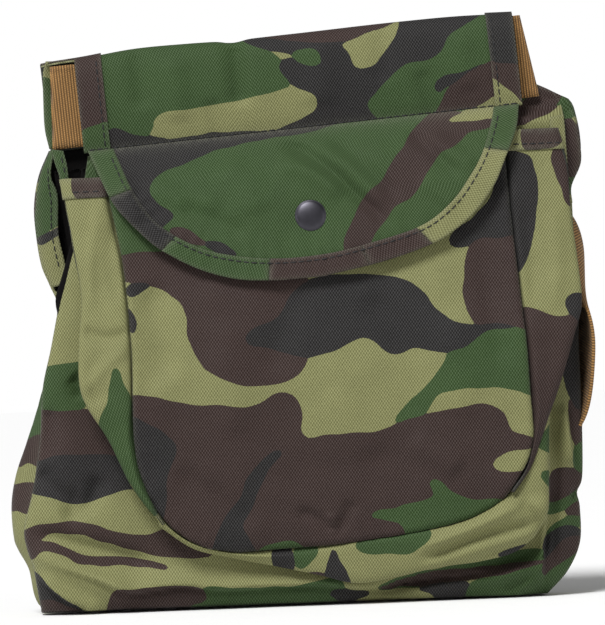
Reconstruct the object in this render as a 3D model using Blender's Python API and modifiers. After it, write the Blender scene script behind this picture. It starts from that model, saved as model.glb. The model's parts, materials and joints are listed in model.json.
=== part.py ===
"""Hand warmer muff: a soft belt-worn hand tube with a bellows pouch, a snap flap and a belt tunnel.

Frame: +Z up, the front faces -Y, +X is the wearer-side right of the front view. The muff stands on its
bottom fold, and the origin is under the middle of its box. Outlines are written in millimetres as
(x, z), depths in millimetres forward of the plane that the back lies in.
"""
import math

import bmesh
import bpy
from mathutils import Matrix, Vector

MM = 0.001
NAME = "hand_warmer_muff"

# Driving dimensions, millimetres and degrees
TOTAL_DEPTH = 53.0
SHELL = 1.0
LINING = 0.8
WADDING = 3.6
PLAY = 0.35
HEM = 0.8
OPENING_HEM_WIDTH = 7.2
SIDE_SEAM_INSET = 2.4
TOP_TILT = 4.04
TOP_CENTRE = (6.1, 226.9)
TUNNEL_LENGTH = 209.6
TUNNEL_HEIGHT = 45.5
TUNNEL_HEM_WIDTH = 12.4
TUNNEL_BACK_REACH = 13.0
FLAP_DROP = 71.0
FLAP_TOP = -1.0
FACING_TOP = -5.0
FACING_SHARE = 0.994
HINGE_DEPTH = 24.4
HINGE_HEIGHT = -0.5
PANEL_SEAM_INSET = 2.2
WALL_SEAM_GAP = 1.6
FOLD_SPREAD = 1.0
SNAP_AT = (-1.2, -41.8)
CAP_RADIUS = 7.5
CAP_POST_HOLE = 2.3
STUD_POST_HOLE = 1.9
SNAP_STEPS = 28
BELT_WIDTH = 39.6
BELT_THICKNESS = 1.6
BELT_FOOT = 3.4
BELT_FOLD_LEAN = 5.2
BELT_FRONT_PLY = 16.9
BELT_BACK_PLY = 14.5
BELT_FOLD_DEPTHS = (15.2, 16.2)
BELT_LEFT = -116.6
BELT_RIGHT = 113.4

# Depth of each layer's outer face at a height: (height, depth)
BACK_STATIONS = [(0, 4), (4, 1), (10, 0), (150, 0), (190, 3), (222, 11), (245, 12)]
WALL_STATIONS = [(0, 33), (6, 36), (25, 37), (110, 36), (165, 33), (205, 25), (222, 22.6), (245, 21)]
POUCH_STATIONS = [
    (20, 42), (40, 50), (70, 53), (115, 52.5), (170, 41.5), (197, 36.55), (203, 33.6), (222, 29.2),
]
FLAP_STATIONS = [(-80, 48.7), (-57, 44.7), (-26, 39.3), (-16, 35.8), (-1, 24.9), (0, 24.3)]
TUNNEL_FRONT_STATIONS = [(0, 23.2), (8, 25.2), (22, 26.2), (38, 24.8), (44.5, 22), (46, 18.5)]
TUNNEL_BACK_STATIONS = [(0, 11), (46, 12.4)]

# Cloth colours, linear
KHAKI = (0.30, 0.33, 0.13)
GREEN = (0.07, 0.16, 0.05)
BROWN = (0.09, 0.06, 0.055)
BLACK = (0.035, 0.037, 0.037)
TAN = (0.52, 0.29, 0.09)
GUNMETAL = (0.12, 0.11, 0.10)
WADDING_WHITE = (0.75, 0.75, 0.73)

C = "corner"

BACK_OUTLINE = [
    (-97.3, 218.4, C), (-113.5, 217.5, C), (-124.5, 211.0), (-129.0, 197.0), (-127.0, 176.0),
    (-113.7, 148.4, C), (-122.7, 108.0), (-134.3, 76.0), (-139.8, 50.0), (-136.5, 29.0), (-130.0, 7.0),
    (-118.0, 0.4, C), (113.0, 0.4, C), (123.9, 15.6), (130.4, 33.0), (131.0, 60.0), (131.0, 120.0),
    (131.5, 180.0), (137.6, 212.0), (133.0, 234.0), (112.0, 242.0, C), (109.6, 232.9, C),
]
WALL_OUTLINE = [
    (-97.3, 218.0, C), (-99.5, 206.0), (-105.0, 180.0), (-112.5, 149.0), (-122.5, 108.0),
    (-134.0, 76.0), (-139.4, 50.0), (-136.0, 29.0), (-129.5, 7.0), (-118.0, 1.6, C), (113.0, 1.6, C),
    (123.9, 15.6), (130.0, 33.0), (130.4, 60.0), (130.0, 110.0), (126.0, 165.0), (117.0, 205.0),
    (109.6, 232.5, C),
]
BACK_LINING_OUTLINE = [
    (-104.0, 211.0, C), (-115.5, 197.0), (-114.0, 176.0), (-105.0, 149.0), (-111.0, 108.0),
    (-124.0, 76.0), (-131.0, 50.0), (-126.0, 20.0), (-116.0, 6.0, C), (112.0, 6.0, C), (122.0, 22.0),
    (124.0, 60.0), (121.0, 110.0), (121.0, 178.0), (120.0, 206.0), (104.0, 218.0, C),
]
FRONT_LINING_OUTLINE = [
    (-88.0, 211.0, C), (-92.0, 190.0), (-103.0, 149.0), (-112.0, 108.0), (-124.0, 76.0),
    (-131.0, 50.0), (-126.0, 20.0), (-116.0, 6.0, C), (112.0, 6.0, C), (122.0, 22.0), (124.0, 60.0),
    (120.0, 110.0), (115.0, 165.0), (106.0, 203.0), (101.0, 218.0, C),
]
PANEL_OUTLINE = [
    (-86.6, 202.4, C), (-82.5, 170.0), (-79.6, 125.0), (-79.6, 85.0), (-74.0, 56.0), (-54.0, 32.5),
    (-23.0, 26.6), (26.5, 30.3), (64.5, 35.4), (92.0, 46.5), (108.0, 71.0), (108.0, 110.0),
    (104.2, 170.0), (101.4, 215.6, C),
]
FLAP_OUTLINE = [
    (-103.4, FLAP_TOP, C), (-95.4, -22.0), (-73.3, -50.4), (-38.2, -68.2), (0.0, -FLAP_DROP),
    (38.2, -66.0), (73.3, -51.4), (93.2, -25.4), (103.4, FLAP_TOP, C),
]
FACING_INNER = [
    (92.6, FLAP_TOP, C), (83.6, -21.4), (66.4, -43.0), (34.8, -55.6), (0.0, -60.4),
    (-34.8, -57.8), (-66.4, -42.2), (-85.6, -18.4), (-92.6, FLAP_TOP, C),
]
LEFT_PANEL_EDGE = [
    (-87.0, 194.0), (-84.3, 180.0), (-80.6, 150.0), (-79.0, 120.0), (-79.0, 95.0), (-78.0, 75.0),
    (-74.0, 58.0), (-66.0, 44.0),
]
LEFT_FOLD = [
    (-110.0, 194.0), (-107.0, 180.0), (-102.6, 150.0), (-104.4, 120.0), (-101.0, 99.0), (-91.0, 80.0),
    (-82.0, 62.0), (-72.0, 47.0),
]
RIGHT_PANEL_EDGE = [
    (101.0, 210.5), (102.6, 185.0), (104.6, 160.0), (107.0, 130.0), (107.6, 105.0), (107.6, 85.0),
    (103.0, 62.0), (95.0, 50.0),
]
RIGHT_FOLD = [
    (127.0, 211.5), (131.0, 185.0), (133.0, 162.0), (131.0, 130.0), (123.0, 105.0), (116.0, 85.0),
    (108.0, 66.0), (99.0, 52.0),
]
BOTTOM_PANEL_EDGE = [
    (-58.0, 36.0), (-42.0, 29.6), (-23.0, 27.4), (2.0, 28.2), (26.5, 31.2), (64.5, 36.2), (88.0, 45.0),
]
BOTTOM_FOLD = [
    (-60.0, 33.0), (-46.0, 26.0), (-20.0, 20.0), (7.0, 15.5), (30.0, 12.0), (62.0, 17.0), (98.0, 26.0),
]
BOTTOM_ENDS = (-117.0, 112.0)
LEFT_SIDE = [(-129.0, 7.0), (-136.0, 29.0), (-139.2, 50.0), (-133.8, 76.0), (-126.0, 96.0)]
RIGHT_SIDE = [(122.0, 14.0), (129.8, 33.0), (130.2, 48.0), (130.3, 62.0)]
# Edges that the hems of the hand openings follow, with the opening on their left
LEFT_BACK_EDGE = [
    (-113.5, 151.0), (-125.5, 177.0), (-127.6, 197.0), (-123.4, 210.0), (-114.0, 216.5),
]
LEFT_FRONT_EDGE = [(-124.0, 100.0), (-112.0, 149.0), (-104.0, 180.0), (-97.6, 214.0)]
RIGHT_BACK_EDGE = [
    (122.0, 237.0), (132.0, 232.5), (136.6, 212.0), (130.6, 178.0), (130.2, 100.0),
]
RIGHT_FRONT_EDGE = [
    (109.0, 231.0), (116.5, 203.0), (125.0, 165.0), (129.2, 110.0), (129.4, 100.0),
]
# Upper and lower edge of the gusset's hems: (outward fold, panel edge)
LEFT_GUSSET_HEM = [(-110.2, 206.6), (-110.0, 195.2)], [(-88.2, 206.0), (-87.9, 195.2)]
RIGHT_GUSSET_HEM = [(127.4, 223.0), (127.2, 212.8)], [(102.6, 219.8), (102.2, 211.8)]
MOUTH_HEM = [(-85.4, 202.0, C), (100.6, 215.0, C), (101.0, 206.4, C), (-84.6, 193.4, C)]
# Middle line of the belt's tail, (x, z, depth, turn): turned by 0 its width runs front to back,
# and by 90 it runs up and down
BELT_TAIL = [
    (94.0, 174.0, 17.6, -76.0), (112.0, 174.0, 17.6, -76.0), (126.0, 171.0, 17.6, -66.0),
    (134.5, 160.0, 21.0, -36.0), (139.0, 140.0, 20.0, -10.0), (139.6, 116.0, 22.0, -8.0),
    (134.0, 96.0, 20.0, -36.0), (117.0, 87.0, 18.5, -70.0), (96.0, 84.0, 18.5, -76.0),
    (70.0, 82.0, 18.5, -80.0),
]


def clear_scene():
    """Removes what a new Blender file starts with."""
    for item in list(bpy.data.objects):
        bpy.data.objects.remove(item)


def new_collection(name):
    """A collection linked to the scene."""
    collection = bpy.data.collections.new(name)
    bpy.context.scene.collection.children.link(collection)
    return collection


def finish(item, colour, roughness, metallic=0.0):
    """Gives an object its own Principled material."""
    material = bpy.data.materials.new(item.name + "_finish")
    material.use_nodes = True
    shader = material.node_tree.nodes["Principled BSDF"]
    shader.inputs["Base Color"].default_value = (*colour, 1.0)
    shader.inputs["Roughness"].default_value = roughness
    shader.inputs["Metallic"].default_value = metallic
    item.data.materials.clear()
    item.data.materials.append(material)


def depth_at(stations, height):
    """Depth read from a list of (height, depth) by straight lines between the stations."""
    if height <= stations[0][0]:
        return stations[0][1]
    for (low, near), (high, far) in zip(stations, stations[1:]):
        if height <= high:
            return near + (far - near) * (height - low) / (high - low)
    return stations[-1][1]


def to_y(depth):
    """World y, in metres, of a depth forward of the back plane."""
    return (TOTAL_DEPTH / 2 - depth) * MM


def outline_mesh(name, outline, steps):
    """A filled 2D curve through the outline, one millimetre thick, as a welded mesh."""
    curve = bpy.data.curves.new(name, "CURVE")
    curve.dimensions = "2D"
    curve.fill_mode = "BOTH"
    curve.extrude = 0.5
    curve.resolution_u = steps
    spline = curve.splines.new("BEZIER")
    spline.bezier_points.add(len(outline) - 1)
    spline.use_cyclic_u = True
    for knot, point in zip(spline.bezier_points, outline):
        knot.co = (point[0], point[1], 0.0)
        kind = "VECTOR" if C in point else "AUTO"
        knot.handle_left_type = kind
        knot.handle_right_type = kind
    guide = bpy.data.objects.new(name, curve)
    bpy.context.scene.collection.objects.link(guide)
    evaluated = guide.evaluated_get(bpy.context.evaluated_depsgraph_get())
    mesh = bpy.data.meshes.new_from_object(evaluated)
    bpy.data.objects.remove(guide)
    return mesh


def slab(name, outline, near, far, frame=None, steps=3):
    """A layer of cloth: the outline, from one depth to another, bent at the depths' stations.

    near and far are (stations, offset): a face lies at the stations' depth plus the offset.
    """
    mesh = outline_mesh(name, outline, steps)
    model = bmesh.new()
    model.from_mesh(mesh)
    bmesh.ops.remove_doubles(model, verts=model.verts, dist=0.0001)
    bmesh.ops.dissolve_limit(model, angle_limit=0.01, verts=model.verts, edges=model.edges)
    for height in sorted({station[0] for station in near[0] + far[0]}):
        parts = model.verts[:] + model.edges[:] + model.faces[:]
        bmesh.ops.bisect_plane(model, geom=parts, plane_co=(0, height, 0), plane_no=(0, 1, 0))
    for vert in model.verts:
        stations, offset = far if vert.co.z > 0 else near
        depth = depth_at(stations, vert.co.y) + offset
        vert.co = Vector((vert.co.x * MM, to_y(depth), vert.co.y * MM))
    model.to_mesh(mesh)
    model.free()
    item = bpy.data.objects.new(name, mesh)
    PARTS.objects.link(item)
    if frame is not None:
        item.matrix_world = frame
    return item


def layer(stations, inset, thickness):
    """near and far for a layer whose outer face is inset behind the stations."""
    return (stations, -inset - thickness), (stations, -inset)


def shell(name, rails, thickness):
    """An open surface lofted through rails of (x, z, depth), with a thickness."""
    mesh = bpy.data.meshes.new(name)
    model = bmesh.new()
    rows = []
    for rail in rails:
        rows.append([model.verts.new((x * MM, to_y(depth), z * MM)) for x, z, depth in rail])
    for row, following in zip(rows, rows[1:]):
        for index in range(len(row) - 1):
            corners = (row[index], row[index + 1], following[index + 1], following[index])
            model.faces.new(corners)
    bmesh.ops.recalc_face_normals(model, faces=model.faces)
    model.to_mesh(mesh)
    model.free()
    item = bpy.data.objects.new(name, mesh)
    PARTS.objects.link(item)
    solidify = item.modifiers.new("thickness", "SOLIDIFY")
    solidify.thickness = thickness * MM
    solidify.offset = 0.0
    return item


def tilted(centre, tilt):
    """The frame of the belt tunnel and flap, whose x axis runs along the slanting stitch line."""
    place = Matrix.Translation((centre[0] * MM, 0.0, centre[1] * MM))
    return place @ Matrix.Rotation(math.radians(-tilt), 4, "Y")


def turned(name, profile, frame):
    """A solid turned about its own z axis from a profile of (radius, height) millimetres."""
    mesh = bpy.data.meshes.new(name)
    verts = [(radius * MM, 0.0, height * MM) for radius, height in profile]
    edges = [(index, index + 1) for index in range(len(verts) - 1)]
    mesh.from_pydata(verts, edges, [])
    item = bpy.data.objects.new(name, mesh)
    PARTS.objects.link(item)
    screw = item.modifiers.new("turn", "SCREW")
    screw.steps = SNAP_STEPS
    screw.render_steps = SNAP_STEPS
    screw.use_merge_vertices = True
    screw.merge_threshold = 0.00001
    item.matrix_world = frame
    return item


def drill(item, radius, frame):
    """Cuts a round hole through a layer along the snap's axis."""
    mesh = bpy.data.meshes.new(item.name + "_hole")
    model = bmesh.new()
    bmesh.ops.create_cone(
        model, cap_ends=True, segments=SNAP_STEPS, radius1=radius * MM, radius2=radius * MM,
        depth=12 * MM,
    )
    model.to_mesh(mesh)
    model.free()
    cutter = bpy.data.objects.new(item.name + "_hole", mesh)
    CUTTERS.objects.link(cutter)
    cutter.matrix_world = frame
    cutter.hide_render = True
    cutter.display_type = "WIRE"
    cut = item.modifiers.new("hole", "BOOLEAN")
    cut.object = cutter
    cut.operation = "DIFFERENCE"


def rectangle(left, right, foot, top):
    """A rectangular outline."""
    return [(left, foot, C), (right, foot, C), (right, top, C), (left, top, C)]


def edge_band(edge, width):
    """A band along an edge: out along the edge's own points and back, moved in by the width."""
    inner = []
    for index, point in enumerate(edge):
        before = Vector(edge[max(index - 1, 0)][:2])
        after = Vector(edge[min(index + 1, len(edge) - 1)][:2])
        along = (after - before).normalized()
        inner.append((point[0] + along.y * width, point[1] - along.x * width))
    ends = (0, len(edge) - 1)
    outer = [(x, z, C) if i in ends else (x, z) for i, (x, z) in enumerate(edge)]
    back = [(x, z, C) if i in ends else (x, z) for i, (x, z) in enumerate(inner)]
    return outer + back[::-1]


def build_back():
    """The back of the hand tube: camouflage shell, wadding and lining."""
    item = slab("back_panel", BACK_OUTLINE, *layer_from_back(0, SHELL))
    finish(item, GREEN, 0.85)
    inset = SHELL + PLAY
    item = slab("back_wadding", BACK_LINING_OUTLINE, *layer_from_back(inset, WADDING))
    finish(item, WADDING_WHITE, 0.95)
    inset += WADDING + PLAY
    item = slab("back_lining", BACK_LINING_OUTLINE, *layer_from_back(inset, LINING))
    finish(item, BLACK, 0.9)


def layer_from_back(inset, thickness):
    """near and far for a layer counted forward from the back's outer face."""
    return (BACK_STATIONS, inset), (BACK_STATIONS, inset + thickness)


def build_front_wall():
    """The front of the hand tube: camouflage shell, wadding and lining."""
    item = slab("front_wall", WALL_OUTLINE, *layer(WALL_STATIONS, 0, SHELL))
    finish(item, KHAKI, 0.85)
    inset = SHELL + PLAY
    item = slab("front_wadding", FRONT_LINING_OUTLINE, *layer(WALL_STATIONS, inset, WADDING))
    finish(item, WADDING_WHITE, 0.95)
    inset += WADDING + PLAY
    item = slab("front_lining", FRONT_LINING_OUTLINE, *layer(WALL_STATIONS, inset, LINING))
    finish(item, BLACK, 0.9)


def build_sides():
    """The bottom of the hand tube and the closed sides below its two hand openings."""
    rails = []
    for depth in (BACK_STATIONS[0][1] + SIDE_SEAM_INSET, WALL_STATIONS[0][1] - SIDE_SEAM_INSET):
        rails.append([(x, SHELL / 2, depth) for x in BOTTOM_ENDS])
    item = shell("bottom_panel", rails, SHELL)
    finish(item, KHAKI, 0.85)
    for name, path in (("left_side_panel", LEFT_SIDE), ("right_side_panel", RIGHT_SIDE)):
        back = [(x, z, depth_at(BACK_STATIONS, z) + SHELL + PLAY) for x, z in path]
        front = [(x, z, depth_at(WALL_STATIONS, z) - SHELL - PLAY) for x, z in path]
        item = shell(name, [back, front], SHELL)
        finish(item, BROWN, 0.85)


def build_opening_hems():
    """Turned hems along both edges of both hand openings."""
    inset = SHELL + PLAY
    back = layer_from_back(inset, HEM)
    front = layer(WALL_STATIONS, inset, HEM)
    bands = (
        ("left_opening_back_hem", LEFT_BACK_EDGE, back),
        ("left_opening_front_hem", LEFT_FRONT_EDGE, front),
        ("right_opening_back_hem", RIGHT_BACK_EDGE, back),
        ("right_opening_front_hem", RIGHT_FRONT_EDGE, front),
    )
    for name, edge, (near, far) in bands:
        item = slab(name, edge_band(edge, OPENING_HEM_WIDTH), near, far)
        finish(item, GREEN, 0.85)


def build_tunnel():
    """The belt tunnel: front and back cloth, closed at the top fold, with a hem at each end."""
    half = TUNNEL_LENGTH / 2
    front = rectangle(-half, half, 0.7, TUNNEL_HEIGHT)
    item = slab("tunnel_front", front, *layer(TUNNEL_FRONT_STATIONS, 0, SHELL), frame=TOP_FRAME)
    finish(item, GREEN, 0.85)
    back = rectangle(-half - TUNNEL_BACK_REACH, half - 1.0, 0.5, TUNNEL_HEIGHT - 1.0)
    near, far = (TUNNEL_BACK_STATIONS, 0), (TUNNEL_BACK_STATIONS, SHELL)
    item = slab("tunnel_back", back, near, far, frame=TOP_FRAME)
    finish(item, GREEN, 0.85)
    inset = SHELL + PLAY
    for name, side in (("tunnel_left_hem", -1), ("tunnel_right_hem", 1)):
        edges = sorted((side * (half - 0.3), side * (half - TUNNEL_HEM_WIDTH)))
        strip = rectangle(*edges, 2.0, TUNNEL_HEIGHT - 4.0)
        item = slab(name, strip, *layer(TUNNEL_FRONT_STATIONS, inset, HEM), frame=TOP_FRAME)
        finish(item, BROWN, 0.85)


def build_flap():
    """The flap and the curved facing on its front, on an empty at the stitch line they fold about."""
    hinge = bpy.data.objects.new("flap_hinge", None)
    PARTS.objects.link(hinge)
    place = Matrix.Translation((0.0, to_y(HINGE_DEPTH), HINGE_HEIGHT * MM))
    hinge.matrix_world = TOP_FRAME @ place
    near, far = (FLAP_STATIONS, 0), (FLAP_STATIONS, SHELL)
    item = slab("flap_panel", FLAP_OUTLINE, near, far, frame=TOP_FRAME, steps=5)
    finish(item, GREEN, 0.85)
    drill(item, CAP_POST_HOLE, SNAP_FRAME)
    on_hinge = [item]
    facing = FLAP_OUTLINE + FACING_INNER
    facing = [(x * FACING_SHARE, min(z, FACING_TOP), *rest) for x, z, *rest in facing]
    near, far = (FLAP_STATIONS, SHELL + PLAY), (FLAP_STATIONS, SHELL + PLAY + HEM)
    item = slab("flap_facing", facing, near, far, frame=TOP_FRAME, steps=5)
    finish(item, BROWN, 0.85)
    on_hinge.append(item)
    return hinge, on_hinge


def build_pouch():
    """The bellows pouch on the front wall: front panel, mouth hem, and the folded gusset round it."""
    item = slab("pouch_panel", PANEL_OUTLINE, *layer(POUCH_STATIONS, 0, SHELL))
    finish(item, BROWN, 0.85)
    drill(item, STUD_POST_HOLE, SNAP_FRAME)
    item = slab("pouch_mouth_hem", MOUTH_HEM, *layer(POUCH_STATIONS, SHELL + PLAY, HEM))
    finish(item, KHAKI, 0.85)
    runs = (
        ("pouch_gusset_left", LEFT_PANEL_EDGE, LEFT_FOLD),
        ("pouch_gusset_right", RIGHT_PANEL_EDGE, RIGHT_FOLD),
        ("pouch_gusset_bottom", BOTTOM_PANEL_EDGE, BOTTOM_FOLD),
    )
    for name, edge, fold in runs:
        item = shell(name, gusset_rails(edge, fold), SHELL)
        finish(item, KHAKI, 0.85)
    hems = (("gusset_left_hem", LEFT_GUSSET_HEM), ("gusset_right_hem", RIGHT_GUSSET_HEM))
    for name, (fold, edge) in hems:
        item = shell(name, gusset_rails(edge, fold)[:2], 2 * HEM)
        finish(item, KHAKI, 0.85)


def gusset_fold_depth(height):
    """Depth of the bellows' outward fold, half way between the pouch panel and the front wall."""
    return (depth_at(POUCH_STATIONS, height) + depth_at(WALL_STATIONS, height)) / 2


def gusset_rails(edge, fold):
    """The bellows from the panel's edge, round the outward fold, to the front wall."""
    rails = [
        [(x, z, depth_at(POUCH_STATIONS, z) - PANEL_SEAM_INSET) for x, z in edge],
        [(x, z, gusset_fold_depth(z) + FOLD_SPREAD) for x, z in fold],
        [(x, z, gusset_fold_depth(z) - FOLD_SPREAD) for x, z in fold],
    ]
    inner = [((x + 2 * u) / 3, (z + 2 * w) / 3) for (x, z), (u, w) in zip(edge, fold)]
    rails.append([(x, z, depth_at(WALL_STATIONS, z) + WALL_SEAM_GAP) for x, z in inner])
    return rails


def build_snap():
    """The press snap: cap and socket on the flap, stud and its back plate on the pouch.

    Each profile is (radius, height above the flap's inner face).
    """
    profiles = {
        "snap_cap": [
            (0.0, 4.3), (2.8, 4.2), (5.2, 3.9), (6.6, 3.4), (7.2, 2.7), (CAP_RADIUS, 2.2),
            (CAP_RADIUS, 1.4), (1.8, 1.4), (1.8, -0.1), (0.0, -0.1),
        ],
        "snap_socket": [
            (3.0, -0.4), (5.2, -0.4), (5.6, -0.8), (5.6, -1.7), (5.0, -2.0), (3.0, -2.0), (3.0, -0.4),
        ],
        "snap_stud": [
            (0.0, -1.1), (1.4, -1.2), (1.9, -1.6), (1.6, -2.1), (5.0, -2.3), (5.0, -2.8), (1.4, -2.8),
            (1.4, -4.3), (0.0, -4.3),
        ],
        "snap_post": [(0.0, -4.6), (4.6, -4.6), (4.8, -4.9), (4.6, -5.3), (0.0, -5.4)],
    }
    pieces = {}
    for name, profile in profiles.items():
        item = turned(name, profile, SNAP_FRAME)
        finish(item, GUNMETAL, 0.35, 1.0)
        pieces[name] = item
    return pieces


def build_belt():
    """The webbing through the tunnel with its folded ends, and the tail that loops at the right."""
    item = shell("belt_webbing", webbing_rails(), BELT_THICKNESS)
    item.matrix_world = TOP_FRAME
    finish(item, TAN, 0.8)
    rails = []
    for reach in (-BELT_WIDTH / 2, BELT_WIDTH / 2):
        rail = []
        for x, z, depth, turn in BELT_TAIL:
            angle = math.radians(turn)
            rail.append((x, z + reach * math.sin(angle), depth + reach * math.cos(angle)))
        rails.append(rail)
    item = shell("belt_tail", rails, BELT_THICKNESS)
    finish(item, TAN, 0.8)


def webbing_rails():
    """Upper and lower edge of the folded webbing, in the tunnel's frame. Its right fold leans."""
    back, front = BELT_FOLD_DEPTHS
    left = [
        (BELT_LEFT / 2, BELT_BACK_PLY), (BELT_LEFT + 2.1, BELT_BACK_PLY), (BELT_LEFT, back),
        (BELT_LEFT, front), (BELT_LEFT + 2.1, BELT_FRONT_PLY), (BELT_RIGHT - 9.4, BELT_FRONT_PLY),
    ]
    right = [
        (BELT_RIGHT - 1.9, BELT_FRONT_PLY), (BELT_RIGHT, front), (BELT_RIGHT, back),
        (BELT_RIGHT - 1.9, BELT_BACK_PLY), (BELT_RIGHT - 23.4, BELT_BACK_PLY),
    ]
    upper = [(x, BELT_FOOT + BELT_WIDTH, depth) for x, depth in left]
    upper += [(x - BELT_FOLD_LEAN, BELT_FOOT + BELT_WIDTH, depth) for x, depth in right]
    lower = [(x, BELT_FOOT, depth) for x, depth in left + right]
    return upper, lower


def snap_frame():
    """The snap's axis: through its centre on the flap's inner face, out along the flap's normal."""
    (low, far), (high, near) = FLAP_STATIONS[1], FLAP_STATIONS[2]
    slope = math.atan2(far - near, high - low)
    depth = depth_at(FLAP_STATIONS, SNAP_AT[1])
    place = Matrix.Translation((SNAP_AT[0] * MM, to_y(depth), SNAP_AT[1] * MM))
    return TOP_FRAME @ place @ Matrix.Rotation(math.pi / 2 - slope, 4, "X")


def follow(parent, children):
    """Parents pieces to an empty without moving them."""
    bpy.context.view_layer.update()
    for child in children:
        child.parent = parent
        child.matrix_parent_inverse = parent.matrix_world.inverted()


clear_scene()
PARTS = new_collection(NAME)
CUTTERS = new_collection("cutters")
TOP_FRAME = tilted(TOP_CENTRE, TOP_TILT)
SNAP_FRAME = snap_frame()
build_back()
build_front_wall()
build_sides()
build_opening_hems()
build_tunnel()
build_pouch()
HINGE, FLAP_PIECES = build_flap()
SNAP = build_snap()
follow(HINGE, FLAP_PIECES + [SNAP["snap_cap"], SNAP["snap_socket"]])
build_belt()
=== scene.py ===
"""Looks of the hand warmer muff: printed oxford cloth, webbing, stitching and the snap, built round the
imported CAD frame.

Cloth is laid out in millimetres as (x, z, depth): x and z as in the frame, and depth counted forward
from the plane that the muff's back lies in. The belt tunnel and the flap use (u, v): u runs along their
slanting stitch line, and v up from it.
"""

import json
import math

import bpy
import numpy as np
from mathutils import Matrix, Vector
from mathutils.bvhtree import BVHTree

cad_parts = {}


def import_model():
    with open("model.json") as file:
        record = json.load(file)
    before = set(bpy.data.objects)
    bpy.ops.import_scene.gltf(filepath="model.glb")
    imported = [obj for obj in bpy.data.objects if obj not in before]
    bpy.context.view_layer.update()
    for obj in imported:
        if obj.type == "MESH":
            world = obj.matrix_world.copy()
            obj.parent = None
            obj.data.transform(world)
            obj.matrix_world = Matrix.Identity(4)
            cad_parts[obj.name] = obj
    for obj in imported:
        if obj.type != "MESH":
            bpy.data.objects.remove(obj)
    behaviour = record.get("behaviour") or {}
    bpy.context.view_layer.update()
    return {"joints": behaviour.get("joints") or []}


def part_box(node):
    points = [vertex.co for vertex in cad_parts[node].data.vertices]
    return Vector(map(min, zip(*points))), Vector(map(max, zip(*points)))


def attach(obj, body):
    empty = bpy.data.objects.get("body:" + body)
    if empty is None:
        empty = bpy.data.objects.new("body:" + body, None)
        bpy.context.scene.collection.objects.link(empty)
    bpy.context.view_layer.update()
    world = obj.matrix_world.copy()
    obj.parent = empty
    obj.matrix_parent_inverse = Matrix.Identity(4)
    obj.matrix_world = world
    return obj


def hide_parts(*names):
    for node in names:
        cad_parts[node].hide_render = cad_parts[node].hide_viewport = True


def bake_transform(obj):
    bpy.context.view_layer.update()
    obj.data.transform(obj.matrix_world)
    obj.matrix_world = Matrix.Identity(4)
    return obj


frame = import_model()

MM = 0.001
BACK_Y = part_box("back_panel")[1].y
HINGE = next(joint for joint in frame["joints"] if joint["name"] == "flap_lift")
TILT = math.atan2(abs(HINGE["axis"][2]), abs(HINGE["axis"][0]))
HINGE_DROP = 0.5  # how far below the stitch line the flap turns, millimetres
STITCH_LINE = (
    HINGE["pos_m"][0] / MM - HINGE_DROP * math.sin(TILT),
    HINGE["pos_m"][2] / MM + HINGE_DROP * math.cos(TILT),
)

# Linear colours
KHAKI = (0.165, 0.167, 0.064)
GREEN = (0.022, 0.051, 0.0085)
BROWN = (0.024, 0.0105, 0.0075)
BLACK = (0.0065, 0.0055, 0.0052)
TAN = (0.31, 0.165, 0.054)
THREAD_BLACK = (0.008, 0.008, 0.009)
LINING_BLACK = (0.006, 0.0055, 0.0055)
GUNMETAL = (0.060, 0.058, 0.068)
COATING = (0.030, 0.033, 0.027)
RUBBED = (0.16, 0.16, 0.12)
SELVEDGE_DOTS = (0.07, 0.035, 0.012)
FLOOR_WHITE = (0.92, 0.92, 0.92)

# Weave, millimetres
WEAVE_ACROSS = 1.38
WEAVE_UP = 2.0
RIB_PITCH = 1.3
RIB_DASH = 1.05
TWILL_PITCH = 1.1

# Stitching, millimetres
STITCH_PITCH = 3.7
STITCH_LENGTH = 3.0
THREAD_RADIUS = 0.33

# Depth of each layer's face at a height, as the CAD has it: (height, depth)
BACK = [(0, 4), (4, 1), (10, 0), (150, 0), (190, 3), (222, 11), (245, 12)]
WALL = [(0, 33), (6, 36), (25, 37), (110, 36), (165, 33), (205, 25), (222, 22.6), (245, 21)]
POUCH = [
    (20, 46), (30, 49.5), (45, 52), (70, 53), (115, 52.5), (170, 41.8), (197, 36.6), (203, 34.4),
    (222, 29.2),
]
FLAP = [(-80, 49), (-66, 46.6), (-50, 44.2), (-35, 41.4), (-24, 38.2), (-16, 35), (-8, 30.4), (0, 25.3)]
# Belt tunnel's section, from the stitch line up the front, over the top and down the back: (v, depth)
TUNNEL = [
    (0, 24.2), (8, 25.8), (22, 26.6), (36, 25.4), (43, 22.8), (45.6, 19.4), (45.9, 16.6), (44.5, 13.8),
    (40, 12.2), (22, 11.3), (0, 10.8),
]
# ---------------------------------------------------------------- printed patches

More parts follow.
